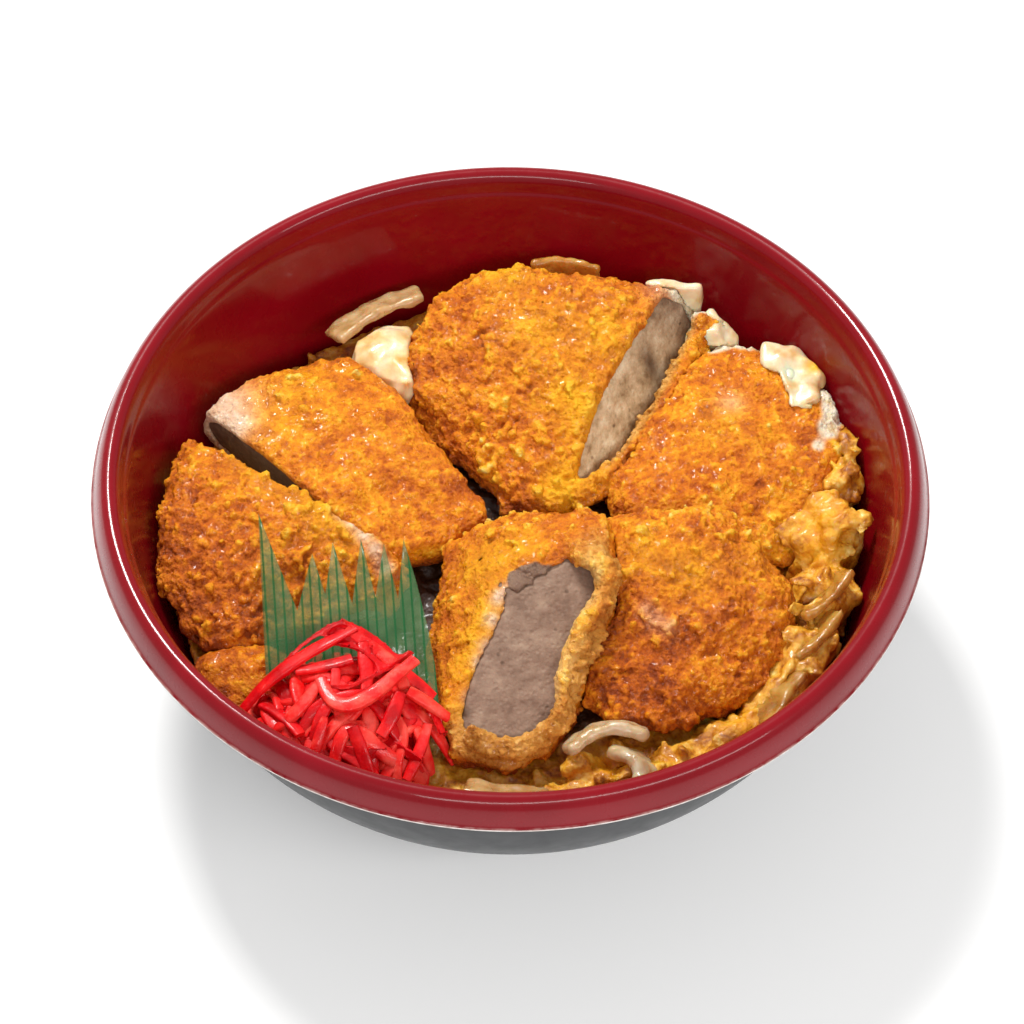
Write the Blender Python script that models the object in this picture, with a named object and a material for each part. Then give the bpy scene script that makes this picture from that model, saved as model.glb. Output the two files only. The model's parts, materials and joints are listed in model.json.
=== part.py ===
"""Katsudon: breaded pork cutlet simmered with egg and onion on rice, in a round takeout bowl.

Metres, +Z up. The origin is on the table under the middle of the bowl, and the front is -Y.
"""

import math
import random

import bmesh
import bpy
import numpy as np
from mathutils import Matrix, Vector, noise

# Bowl: the rim's size, and the wall that the food fits
BOWL_HEIGHT = 0.062
RIM_RADIUS = 0.089
SKIRT_Z = 0.055
FOOT_RADIUS = 0.050
FOOT_HEIGHT = 0.0016
WALL = 0.0012
STEP_RADIUS = 0.0815
STEP_Z = 0.057
WALL_SLOPE = 0.2
WALL_TUCK = 0.026
WALL_POWER = 4.8
FLOOR_Z = 0.0031
FLOOR_RADIUS = 0.036
FLOOR_EDGE_Z = 0.0045
WALL_HEIGHTS = (FLOOR_EDGE_Z, 0.0070, 0.0105, 0.0160, 0.0240, 0.0350, 0.0460, STEP_Z)
OUTSIDE_HEIGHTS = ((0.040, 0.0), (0.024, 0.0), (0.0105, 0.0010), (0.0055, 0.0015))
BOWL_SEGMENTS = 36
RIM_CREST = RIM_RADIUS - 0.0040
RIM_SECTION = [
    (STEP_RADIUS + 0.0005, STEP_Z + 0.0003), (STEP_RADIUS + 0.0012, STEP_Z + 0.0028),
    (RIM_CREST - 0.0012, BOWL_HEIGHT - 0.0003), (RIM_CREST, BOWL_HEIGHT),
    (RIM_CREST + 0.0018, BOWL_HEIGHT - 0.0010), (RIM_CREST + 0.0032, SKIRT_Z + 0.0020),
    (RIM_RADIUS - 0.0004, SKIRT_Z + 0.0008), (RIM_RADIUS, SKIRT_Z + 0.0007), (RIM_RADIUS, SKIRT_Z),
    (RIM_RADIUS - 0.0014, SKIRT_Z), (RIM_CREST + 0.0012, BOWL_HEIGHT - 0.0023),
    (RIM_CREST, BOWL_HEIGHT - 0.0012), (RIM_CREST - 0.0010, BOWL_HEIGHT - 0.0019),
    (STEP_RADIUS + 0.0022, STEP_Z - 0.0010),
]

# Food levels, and the room between two pieces
GAP = 0.0003
CUT_ROOM = 0.0004
WALL_ROOM = 0.0005
RICE_TOP = 0.0274
RICE_SHOWS = math.radians(-56)
RICE_BANK = 0.0085
RICE_BANK_HALF = math.radians(13)
RICE_LEVEL_SHARE = 0.86
BED_SIDES = 36
GRAIN_SIZE = 0.003
GRAIN_DEPTH = 0.0004
EGG_BASE = 0.0280
EGG_TOP = 0.0303
EGG_BAY = 0.0105
EGG_BAY_HALF = math.radians(17)
CURD_SIZE = 0.007
CURD_DEPTH = 0.0007
CURD_LIFT = 0.0006
CUTLET_BASE = 0.0313
RIM_POINTS = 30
CRUST = 0.0028
FRONT_CRUST = 0.0023
MEAT_ROOM = 0.0005
FACE_SIZE = 0.0052
CRUMB_SIZE = 0.0075
CRUMB_DEPTH = 0.0012
SMALLEST_EDGE = 0.000002
MOST_GROWTH = 1.6
FLAT_ANGLE = math.radians(4.0)
SHARP_ANGLE = math.radians(50.0)
LEAST_RISE = 0.0008
MEAT_POINTS = 18
LIP_POINTS = 12
LIP_LEAN = 45

# Cutlet pieces: the shoulder line round each top, the flare of the foot and the crown of the top
LEFT_FRONT = dict(
    shoulder=[(-0.067, 0.026, 0.0490), (-0.059, 0.022, 0.0495), (-0.042, 0.006, 0.0495),
              (-0.029, -0.003, 0.048), (-0.021, -0.012, 0.044), (-0.0255, -0.021, 0.040),
              (-0.039, -0.0255, 0.0385), (-0.050, -0.0300, 0.0380), (-0.061, -0.0325, 0.0380),
              (-0.069, -0.0275, 0.0395), (-0.0745, -0.017, 0.042), (-0.076, -0.005, 0.045),
              (-0.074, 0.009, 0.0475)],
    flare=0.0010, crown=0.0032, corner=0.0042, seed=11)
LEFT_BACK = dict(
    shoulder=[(-0.0675, 0.032, 0.0455), (-0.057, 0.039, 0.0465), (-0.040, 0.045, 0.0475),
              (-0.031, 0.041, 0.048), (-0.017, 0.024, 0.047), (-0.006, 0.009, 0.045),
              (-0.003, 0.002, 0.041), (-0.008, -0.003, 0.0395), (-0.016, -0.005, 0.041),
              (-0.0270, -0.0100, 0.0435), (-0.0440, 0.0000, 0.0465), (-0.0560, 0.0110, 0.047),
              (-0.0640, 0.0185, 0.0465), (-0.0700, 0.0260, 0.0455)],
    flare=0.0, crown=0.0022, corner=0.0034, seed=23)
BACK = dict(
    shoulder=[(-0.024, 0.042, 0.047), (-0.019, 0.056, 0.051), (-0.008, 0.0645, 0.0535),
              (0.006, 0.0645, 0.0555), (0.019, 0.062, 0.056), (0.032, 0.061, 0.0555),
              (0.044, 0.058, 0.054), (0.036, 0.042, 0.052), (0.027, 0.024, 0.049),
              (0.021, 0.012, 0.044), (0.011, 0.006, 0.0405), (0.002, 0.008, 0.040),
              (-0.009, 0.020, 0.042), (-0.019, 0.031, 0.0445)],
    flare=0.0012, crown=0.0030, corner=0.0046, seed=37)
RIGHT = dict(
    shoulder=[(0.040, 0.0475, 0.0465), (0.050, 0.0490, 0.047), (0.062, 0.045, 0.047),
              (0.071, 0.036, 0.0465), (0.0745, 0.025, 0.0455), (0.0745, 0.012, 0.043),
              (0.070, 0.001, 0.040), (0.061, -0.006, 0.038), (0.048, -0.006, 0.041),
              (0.034, -0.002, 0.043), (0.022, 0.006, 0.0435), (0.022, 0.017, 0.0440),
              (0.030, 0.033, 0.0450)],
    flare=0.0008, crown=0.0024, corner=0.0040, seed=41)
FRONT = dict(
    shoulder=[(-0.0060, -0.0180, 0.0510, 0.013), (-0.0095, -0.0075, 0.0488, 0.008),
              (0.0010, -0.0025, 0.0508, 0.002), (0.0150, -0.0020, 0.0535), (0.0230, -0.0080, 0.0540),
              (0.0232, -0.0200, 0.0530), (0.0185, -0.0330, 0.0503), (0.0138, -0.0455, 0.0462),
              (0.0080, -0.0555, 0.0440, 0.001), (-0.0030, -0.0580, 0.0430, 0.002),
              (-0.0115, -0.0540, 0.0425, 0.003), (-0.0110, -0.043, 0.0452, 0.007),
              (-0.0078, -0.030, 0.0487, 0.010)],
    flare=0.0010, crown=0.0030, corner=0.0036, seed=53)
FRONT_RIGHT = dict(
    shoulder=[(0.0185, -0.0050, 0.0520), (0.029, -0.0015, 0.0525), (0.041, -0.0005, 0.0525),
              (0.050, -0.005, 0.0510), (0.057, -0.013, 0.048), (0.0605, -0.022, 0.045),
              (0.059, -0.032, 0.0415), (0.052, -0.0425, 0.0385), (0.043, -0.050, 0.0370),
              (0.033, -0.053, 0.0365), (0.0200, -0.0505, 0.0375), (0.0130, -0.038, 0.0415),
              (0.0150, -0.022, 0.0480)],
    flare=0.0014, crown=0.0046, corner=0.0034, seed=67, face=0.0054)
LEFT_END = dict(
    shoulder=[(-0.0675, -0.0315, 0.0365), (-0.061, -0.0285, 0.0380), (-0.050, -0.0285, 0.0390),
              (-0.0445, -0.0350, 0.0370), (-0.049, -0.0440, 0.0350), (-0.057, -0.0455, 0.0345),
              (-0.0645, -0.0400, 0.0350)],
    flare=0.0010, crown=0.0030, corner=0.0028, seed=71, count=18, face=0.0034)

# Crust that stands up ragged beside a cut: the middle line, and how thick it is
BACK_LIP = ([(0.0130, 0.0105, 0.0385), (0.0185, 0.0135, 0.0375), (0.0250, 0.0200, 0.0375),
             (0.0310, 0.0290, 0.0385), (0.0360, 0.0380, 0.0400), (0.0400, 0.0465, 0.0430),
             (0.0430, 0.0540, 0.0470)], 0.0058)
FRONT_LIP = ([(0.0130, -0.0180, 0.0545), (0.0195, -0.0190, 0.0535), (0.0210, -0.0245, 0.0512),
              (0.0172, -0.0340, 0.0468), (0.0130, -0.0445, 0.0422), (0.0085, -0.0530, 0.0390),
              (0.0000, -0.0565, 0.0380), (-0.0085, -0.0535, 0.0390)], 0.0044)

# Knife cuts, each a point on the cut and the way it faces
BACK_CUT = ((0.0258, 0.0360, 0.0449), (0.725, -0.493, 0.480))
FRONT_CUT = ((0.0, -0.021, 0.0515), (0.03, -0.387, 0.922))
LEFT_BACK_CUT = ((-0.045, 0.0066, 0.047), (-0.70, -0.714, -0.10))
LEFT_FRONT_CUT = ((-0.045, 0.0027, 0.049), (0.545, 0.838, 0.16))
CUT_RECESS = 0.0009

# Egg white that set over the crust: an outline of its top as (x, y, z), and its lowest point
WHITE_RIGHT = [(0.0520, 0.0475, 0.0480), (0.0600, 0.0480, 0.0485), (0.0665, 0.0440, 0.0485),
               (0.0705, 0.0370, 0.0480), (0.0705, 0.0290, 0.0475), (0.0655, 0.0215, 0.0470),
               (0.0605, 0.0240, 0.0485), (0.0590, 0.0310, 0.0490), (0.0575, 0.0360, 0.0495),
               (0.0530, 0.0405, 0.0490)]
WHITE_MIDDLE = [(0.0375, 0.050, 0.0480), (0.0415, 0.0560, 0.0500), (0.048, 0.0545, 0.0490),
                (0.0515, 0.050, 0.0475), (0.048, 0.0450, 0.0475), (0.0415, 0.0450, 0.0480)]
WHITE_CREST = [(0.0280, 0.0590, 0.0560), (0.033, 0.0625, 0.0555), (0.040, 0.0620, 0.0535),
               (0.0440, 0.0585, 0.0510), (0.0410, 0.0560, 0.0530), (0.0340, 0.0565, 0.0565)]
WHITE_LEFT = [(-0.0385, 0.047, 0.0425), (-0.034, 0.054, 0.0425), (-0.025, 0.057, 0.0430),
              (-0.0185, 0.052, 0.0440), (-0.0185, 0.041, 0.0460), (-0.022, 0.034, 0.0465),
              (-0.028, 0.040, 0.0460)]
WHITE_BASE = 0.036
WHITE_POINTS = 16

# Onion slices: the middle line of each strip, its width and its lean from upright in degrees
ONION_THICKNESS = 0.0014
ONION_POINTS = 9
ONIONS = {
    "onion_front_upper": ([(0.0125, -0.0570, 0.0385), (0.0165, -0.0540, 0.0398),
                           (0.0220, -0.0525, 0.0405), (0.0280, -0.0540, 0.0400)], 0.0046, 42),
    "onion_front_ring": ([(0.0215, -0.0570, 0.0383), (0.0265, -0.0590, 0.0385),
                          (0.0285, -0.0635, 0.0380), (0.0260, -0.0680, 0.0370),
                          (0.0205, -0.0700, 0.0365)], 0.0052, 42),
    "onion_front_low": ([(-0.0090, -0.0640, 0.0350), (-0.0010, -0.0660, 0.0352),
                         (0.0080, -0.0665, 0.0350)], 0.0056, 62),
    "onion_front_left": ([(-0.0100, -0.0700, 0.0375), (-0.0030, -0.0715, 0.0372),
                          (0.0040, -0.0715, 0.0370)], 0.0050, 48),
    "onion_right_long": ([(0.0620, -0.0240, 0.0410), (0.0675, -0.0200, 0.0425),
                          (0.0715, -0.0140, 0.0435)], 0.0060, 40),
    "onion_right_short": ([(0.0600, -0.0330, 0.0390), (0.0650, -0.0290, 0.0405),
                           (0.0690, -0.0230, 0.0415)], 0.0050, 48),
    "onion_right_low": ([(0.0525, -0.0500, 0.0375), (0.0560, -0.0430, 0.0385),
                         (0.0600, -0.0370, 0.0385)], 0.0068, 55),
    "onion_back": ([(0.0045, 0.0690, 0.0455), (0.0115, 0.0705, 0.0455),
                    (0.0195, 0.0685, 0.0450)], 0.0072, 10),
    "onion_back_left": ([(-0.0395, 0.0530, 0.0410), (-0.0315, 0.0600, 0.0420),
                         (-0.0205, 0.0645, 0.0430)], 0.0075, 60),
}

# Egg curds that hold the bed's edges up: middle, the three half sizes, turn about Z in degrees
CURDS = [
    (0.068, 0.000, 0.0375, 0.010, 0.010, 0.008, 60), (0.067, -0.016, 0.0355, 0.010, 0.009, 0.008, 70),
    (0.062, -0.029, 0.0335, 0.010, 0.010, 0.007, 0), (0.055, -0.041, 0.0320, 0.010, 0.009, 0.0065, 45),
    (0.045, -0.051, 0.0310, 0.010, 0.008, 0.0055, 40),
    (0.072, 0.013, 0.041, 0.007, 0.006, 0.005, 80), (0.063, -0.011, 0.043, 0.006, 0.003, 0.0025, 20),
    (0.070, -0.011, 0.045, 0.009, 0.003, 0.0025, 30), (0.072, -0.002, 0.045, 0.008, 0.003, 0.0024, 15),
    (0.068, 0.004, 0.044, 0.006, 0.0035, 0.003, 340), (0.066, -0.028, 0.040, 0.005, 0.004, 0.003, 30),
    (0.063, -0.035, 0.038, 0.006, 0.004, 0.003, 20), (0.058, -0.044, 0.037, 0.008, 0.003, 0.003, 55),
    (0.049, -0.050, 0.035, 0.005, 0.004, 0.003, 10), (0.044, -0.054, 0.034, 0.004, 0.003, 0.003, 30),
    (0.036, -0.055, 0.033, 0.006, 0.004, 0.003, 350), (0.029, -0.060, 0.034, 0.006, 0.005, 0.004, 20),
    (0.033, -0.066, 0.035, 0.004, 0.004, 0.003, 0), (0.020, -0.062, 0.033, 0.007, 0.005, 0.003, 0),
    (0.014, -0.059, 0.035, 0.003, 0.004, 0.003, 20), (0.019, -0.064, 0.036, 0.003, 0.002, 0.002, 40),
    (0.010, -0.066, 0.032, 0.006, 0.005, 0.003, 0), (0.004, -0.070, 0.033, 0.005, 0.003, 0.003, 0),
    (-0.003, -0.066, 0.031, 0.006, 0.004, 0.002, 0),
    (-0.034, 0.056, 0.037, 0.009, 0.007, 0.004, 40), (-0.022, 0.062, 0.037, 0.009, 0.006, 0.005, 20),
    (-0.046, 0.050, 0.036, 0.007, 0.005, 0.004, 50), (-0.060, 0.040, 0.035, 0.006, 0.004, 0.004, 60),
    (0.000, 0.070, 0.041, 0.010, 0.005, 0.005, 0), (0.013, 0.070, 0.042, 0.009, 0.005, 0.006, 350),
    (0.028, 0.067, 0.041, 0.009, 0.005, 0.006, 335), (0.044, 0.060, 0.037, 0.008, 0.005, 0.005, 320),
    (0.0735, 0.021, 0.044, 0.005, 0.003, 0.003, 100),
]

# Green plastic divider: the run of its foot, its rise, and the height of each column
DIVIDER_LEFT = Vector((-0.0510, -0.0400, 0.0375))
DIVIDER_RIGHT = Vector((-0.0145, -0.0465, 0.0375))
DIVIDER_RISE_LEFT = Vector((-0.0025, 0.0345, 0.0155))
DIVIDER_RISE_RIGHT = Vector((-0.0040, 0.0330, 0.0165))
DIVIDER_SAG = 0.0035
DIVIDER_THICKNESS = 0.00036
DIVIDER_WAVE = 0.0007
DIVIDER_WAVES = 21.0
DIVIDER_ROWS = 4
DIVIDER_COLUMNS = [
    (0.00, 0.98), (0.105, 0.74), (0.21, 0.50), (0.265, 0.68), (0.325, 0.86), (0.39, 0.64),
    (0.455, 0.96), (0.545, 0.62), (0.63, 1.00), (0.69, 0.66), (0.765, 0.98), (0.82, 0.66),
    (0.885, 1.00), (0.94, 0.74), (0.98, 0.48), (1.00, 0.26),
]

# Red pickled ginger: a low core, then strips by hand where they stand out, and by rule
GINGER_MIDDLE = Vector((-0.0335, -0.0520, 0.0445))
GINGER_REACH = Vector((0.0160, 0.0120))
GINGER_DROP = 0.004
GINGER_SIDES = 24
GOLDEN_ANGLE = math.pi * (3 - math.sqrt(5))
GINGER_CORE = [(-0.052, -0.046, 0.0390), (-0.043, -0.0395, 0.0430), (-0.033, -0.0375, 0.0455),
               (-0.022, -0.0415, 0.0435), (-0.0145, -0.049, 0.0390), (-0.0145, -0.060, 0.0370),
               (-0.022, -0.068, 0.0370), (-0.033, -0.066, 0.0385), (-0.044, -0.059, 0.0380)]
GINGER_WIDTH = 0.0034
GINGER_DEPTH = 0.0024
GINGER_POINTS = 5
GINGER_STRIPS = [
    [(-0.0545, -0.0470, 0.0395), (-0.0470, -0.0400, 0.0455), (-0.0400, -0.0350, 0.0490),
     (-0.0340, -0.0325, 0.0505)],
    [(-0.0350, -0.0330, 0.0500), (-0.0290, -0.0350, 0.0480), (-0.0235, -0.0395, 0.0455),
     (-0.0185, -0.0450, 0.0425)],
    [(-0.0405, -0.0430, 0.0455), (-0.0365, -0.0480, 0.0470), (-0.0290, -0.0455, 0.0475),
     (-0.0200, -0.0375, 0.0465)],
    [(-0.0420, -0.0440, 0.0440), (-0.0455, -0.0500, 0.0430), (-0.0500, -0.0530, 0.0400)],
    [(-0.0380, -0.0520, 0.0440), (-0.0415, -0.0570, 0.0425), (-0.0440, -0.0610, 0.0395)],
    [(-0.0285, -0.0510, 0.0455), (-0.0290, -0.0580, 0.0430), (-0.0300, -0.0650, 0.0395)],
    [(-0.0200, -0.0460, 0.0440), (-0.0160, -0.0500, 0.0425), (-0.0135, -0.0550, 0.0400)],
    [(-0.0380, -0.0360, 0.0475), (-0.0310, -0.0390, 0.0490), (-0.0255, -0.0440, 0.0475)],
]
GINGER_LOOSE = 8
GINGER_SEED = 5

# Colour and roughness of each kind of food, and of the bowl and the divider
MATERIALS = {
    "bowl": ((0.36, 0.008, 0.020), 0.30), "rice": ((0.80, 0.76, 0.66), 0.55),
    "egg": ((0.86, 0.50, 0.12), 0.45), "crust": ((0.62, 0.24, 0.035), 0.55),
    "pork": ((0.46, 0.33, 0.28), 0.60), "white": ((0.86, 0.80, 0.68), 0.30),
    "onion": ((0.62, 0.48, 0.30), 0.25), "divider": ((0.09, 0.34, 0.16), 0.25),
    "ginger": ((0.72, 0.018, 0.020), 0.35),
}


def clear_scene():
    """Remove whatever the file starts with."""
    for obj in list(bpy.data.objects):
        bpy.data.objects.remove(obj, do_unlink=True)


def material(kind):
    """One plain material for each kind of food, made when it is first asked for."""
    found = bpy.data.materials.get(kind)
    if found:
        return found
    colour, roughness = MATERIALS[kind]
    made = bpy.data.materials.new(kind)
    made.use_nodes = True
    shader = made.node_tree.nodes["Principled BSDF"]
    shader.inputs["Base Color"].default_value = (*colour, 1.0)
    shader.inputs["Roughness"].default_value = roughness
    shader.inputs["Metallic"].default_value = 0.0
    return made


def new_object(name, shape, kind, smooth=True):
    """An object with its origin in the middle of the shape, standing where the shape was made."""
    bmesh.ops.triangulate(shape, faces=shape.faces)
    bmesh.ops.recalc_face_normals(shape, faces=shape.faces)
    low = Vector([min(v.co[axis] for v in shape.verts) for axis in range(3)])
    high = Vector([max(v.co[axis] for v in shape.verts) for axis in range(3)])
    middle = (low + high) / 2
    bmesh.ops.translate(shape, vec=-middle, verts=shape.verts)
    mesh = bpy.data.meshes.new(name)
    shape.to_mesh(mesh)
    shape.free()
    mesh.materials.append(material(kind))
    if smooth:
        mesh.shade_smooth()
        mesh.set_sharp_from_angle(angle=SHARP_ANGLE)
    obj = bpy.data.objects.new(name, mesh)
    obj.location = middle
    bpy.context.scene.collection.objects.link(obj)
    return obj


def inner_radius(z):
    """Radius of the bowl's inner wall at height z, up to the step under the rim."""
    depth = max(STEP_Z - z, 0.0)
    tuck = WALL_TUCK * (depth / (STEP_Z - FLOOR_EDGE_Z)) ** WALL_POWER
    return STEP_RADIUS - WALL_SLOPE * depth - tuck


def room_radius(z):
    """How far the food may reach at height z, inside the flat sides that the bowl's wall is made of."""
    wall = np.interp(z, WALL_HEIGHTS, [inner_radius(height) for height in WALL_HEIGHTS])
    return wall * math.cos(math.pi / BOWL_SEGMENTS) - WALL_ROOM


def hold_in_bowl(shape):
    """Pull in what would cross the bowl's wall."""
    for vert in shape.verts:
        reach = math.hypot(vert.co.x, vert.co.y)
        most = room_radius(vert.co.z)
        if reach > most:
            vert.co.x *= most / reach
            vert.co.y *= most / reach


def smooth_line(points, count, closed):
    """Points at equal steps along the smooth curve through a few given ones."""
    points = [Vector(point) for point in points]
    spans = len(points) if closed else len(points) - 1
    if not closed:
        points = [points[0] * 2 - points[1]] + points + [points[-1] * 2 - points[-2]]
    steps = count if closed else count - 1
    line = []
    for index in range(count):
        along = spans * index / steps
        span = min(int(along), spans - 1)
        t = along - span
        start = span - 1 if closed else span
        a, b, c, d = (points[(start + k) % len(points)] for k in range(4))
        line.append(((b * 2) + (c - a) * t + (a * 2 - b * 5 + c * 4 - d) * t * t
                     + (b * 3 - a - c * 3 + d) * t ** 3) / 2)
    return line


def skin(rings, bottom, top):
    """A closed shape through rings of points, given from the bottom up, with a point at each end."""
    shape = bmesh.new()
    rows = [[shape.verts.new(point) for point in ring] for ring in rings]
    count = len(rows[0])
    low = shape.verts.new(bottom)
    high = shape.verts.new(top)
    for k in range(count):
        after = (k + 1) % count
        shape.faces.new((low, rows[0][after], rows[0][k]))
        shape.faces.new((high, rows[-1][k], rows[-1][after]))
        for under, over in zip(rows, rows[1:]):
            shape.faces.new((under[k], under[after], over[after], over[k]))
    return shape


def roughen(shape, size, depth, seed):
    """Crags: push each point along its normal by noise of the given size and depth."""
    shape.normal_update()
    away = Vector((seed, seed * 0.7, seed * 1.3))
    moves = []
    for vert in shape.verts:
        coarse = noise.noise(vert.co / size + away)
        fine = noise.noise(vert.co / (size * 0.45) + away * 2)
        moves.append(vert.normal * depth * (coarse * 1.3 + fine * 0.9))
    for vert, move in zip(shape.verts, moves):
        vert.co += move


def loaf(shoulder, flare, crown, corner, seed, base=CUTLET_BASE, inset=0.0, rough=CRUMB_DEPTH,
         count=RIM_POINTS, face=FACE_SIZE):
    """A rounded block of food on a flat foot, from the line round its shoulder.

    A fourth value on a point of that line is how far the side below it slopes out. Only a block with
    a rough crust is given small even faces, of about the size that face says.
    """
    given = [(*point, 0.0)[:4] for point in shoulder]
    line = smooth_line(given, count, True)
    slopes = [max(point[3], 0.0) for point in line]
    line = [point.to_3d() for point in line]
    middle = sum(line, Vector()) / count
    low = base + inset

    def ring(inward, drop, share=1.0):
        points = []
        for point in line:
            out = (point - middle).to_2d()
            flat = middle.to_2d() + out.normalized() * max(out.length - inset - inward, LEAST_RISE) * share
            height = middle.z + (point.z - middle.z) * share - drop - inset
            points.append(Vector((flat.x, flat.y, max(height, low + LEAST_RISE))))
        return points

    side = ring(0.0, corner)

    def lower(share, spread, pull=0.0):
        points = []
        for point, slope in zip(side, slopes):
            way = (point - middle).to_2d().normalized()
            flat = point.to_2d() + way * ((flare + slope) * spread - pull)
            points.append(Vector((flat.x, flat.y, low + (point.z - low) * share)))
        return points

    rings = [lower(0.0, 0.9, inset * 0.8), lower(0.68, 0.6), side]
    if rough:
        rings.insert(1, lower(0.3, 0.95))
        rings.append(ring(corner * 0.28, corner * 0.32))
    rings.append(ring(corner, 0.0))
    for share in (0.72, 0.40) if rough else (0.60,):
        rings.append(ring(corner, -crown * (1 - share * share), share))
    bottom = Vector((middle.x, middle.y, low))
    top = Vector((middle.x, middle.y, middle.z + crown - inset))
    shape = skin(rings, bottom, top)
    if rough:
        shape = even_out(shape, face)
        roughen(shape, CRUMB_SIZE, rough, seed)
        for vert in shape.verts:
            vert.co.z = max(vert.co.z, low)
    hold_in_bowl(shape)
    return shape


def even_out(shape, size):
    """The same shape with faces of one size all over, so that crags can stand anywhere on it."""
    obj = new_object("even", shape, "crust")
    remesh = obj.modifiers.new("Remesh", "REMESH")
    remesh.mode = "VOXEL"
    remesh.voxel_size = size
    evaluated = obj.evaluated_get(bpy.context.evaluated_depsgraph_get())
    even = bmesh.new()
    even.from_mesh(evaluated.to_mesh())
    evaluated.to_mesh_clear()
    even.transform(obj.matrix_basis)
    bpy.data.objects.remove(obj, do_unlink=True)
    return even


def slice_off(shape, point, facing, deeper=0.0):
    """Cut a shape flat and close the cut, taking away the side that the cut faces."""
    facing = Vector(facing).normalized()
    point = Vector(point) - facing * deeper
    parts = shape.verts[:] + shape.edges[:] + shape.faces[:]
    cut = bmesh.ops.bisect_plane(shape, geom=parts, plane_co=point, plane_no=facing, clear_outer=True,
                                 dist=SMALLEST_EDGE)
    edges = [item for item in cut["geom_cut"] if isinstance(item, bmesh.types.BMEdge)]
    bmesh.ops.holes_fill(shape, edges=edges, sides=0)
    return shape


def grown_copy(obj, by):
    """A hidden copy of a solid, grown all round, that cuts the room for it in its neighbours."""
    shape = bmesh.new()
    shape.from_mesh(obj.data)
    shape.transform(obj.matrix_basis)
    shape.normal_update()
    places = [vert.co + vert.normal * by * min(vert.calc_shell_factor(), MOST_GROWTH)
              for vert in shape.verts]
    for vert, place in zip(shape.verts, places):
        vert.co = place
    copy = new_object(obj.name + ".room", shape, "crust", smooth=False)
    copy.hide_render = True
    copy.display_type = "WIRE"
    return copy


def keep_largest(shape):
    """Drop the loose scraps that a cut leaves, keeping the body with the most faces."""
    bodies = []
    unseen = set(shape.faces)
    while unseen:
        front = [unseen.pop()]
        body = set(front)
        while front:
            for edge in front.pop().edges:
                beside = edge.link_faces if len(edge.link_faces) == 2 else ()
                for face in unseen.intersection(beside):
                    unseen.discard(face)
                    body.add(face)
                    front.append(face)
        bodies.append(body)
    largest = max(bodies, key=len)
    scraps = [face for body in bodies if body is not largest for face in body]
    bmesh.ops.delete(shape, geom=scraps, context="FACES")


def settle(obj):
    """Apply the object's modifiers, and keep its largest body without its slivers."""
    graph = bpy.context.evaluated_depsgraph_get()
    evaluated = obj.evaluated_get(graph)
    shape = bmesh.new()
    shape.from_mesh(evaluated.to_mesh())
    evaluated.to_mesh_clear()
    obj.modifiers.clear()
    bmesh.ops.dissolve_limit(shape, angle_limit=FLAT_ANGLE, verts=shape.verts, edges=shape.edges)
    bmesh.ops.triangulate(shape, faces=shape.faces)
    keep_largest(shape)
    shape.to_mesh(obj.data)
    shape.free()
    obj.data.shade_smooth()
    obj.data.set_sharp_from_angle(angle=SHARP_ANGLE)


def combine(obj, others, operation, solver="EXACT"):
    """Join other objects to this one, or cut them from it, and remove them."""
    group = bpy.data.collections.new(obj.name + ".others")
    for other in others:
        group.objects.link(other)
    modifier = obj.modifiers.new(operation.title(), "BOOLEAN")
    modifier.operation = operation
    modifier.operand_type = "COLLECTION"
    modifier.collection = group
    modifier.solver = solver
    settle(obj)
    for other in others:
        bpy.data.objects.remove(other, do_unlink=True)
    bpy.data.collections.remove(group)


def make_room(obj, neighbours, solver="EXACT", room=CUT_ROOM):
    """Cut the neighbours out of a piece, with the room that touching pieces keep."""
    combine(obj, [grown_copy(other, room) for other in neighbours], "DIFFERENCE", solver)


def bowl():
    """The thin moulded bowl: foot, curved wall, step, rolled rim and the skirt that hangs from it."""
    inside = [(inner_radius(z), z) for z in WALL_HEIGHTS]
    outside = [(inner_radius(z + lift) + WALL, z) for z, lift in OUTSIDE_HEIGHTS]
    foot = [(FOOT_RADIUS + 0.0008, FLOOR_Z), (FOOT_RADIUS, 0.0), (FOOT_RADIUS - 0.004, 0.0),
            (FOOT_RADIUS - 0.005, FOOT_HEIGHT)]
    profile = [(0.0, FLOOR_Z), (FLOOR_RADIUS, FLOOR_Z)] + inside + RIM_SECTION + outside + foot
    profile.append((0.0, FOOT_HEIGHT))
    shape = bmesh.new()
    points = [shape.verts.new((r, 0.0, z)) for r, z in profile]
    edges = [shape.edges.new(pair) for pair in zip(points, points[1:])]
    bmesh.ops.spin(shape, geom=points + edges, cent=(0, 0, 0), axis=(0, 0, 1), dvec=(0, 0, 0),
                   angle=math.tau, steps=BOWL_SEGMENTS, use_merge=True, use_duplicate=False)
    bmesh.ops.remove_doubles(shape, verts=shape.verts, dist=SMALLEST_EDGE)
    return new_object("bowl", shape, "bowl")


def around_the_bed():
    """The angles round a bed of food, each with how far it is from where the rice shows."""
    angles = [math.tau * k / BED_SIDES for k in range(BED_SIDES)]
    return [(angle, (angle - RICE_SHOWS + math.pi) % math.tau - math.pi) for angle in angles]


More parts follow.
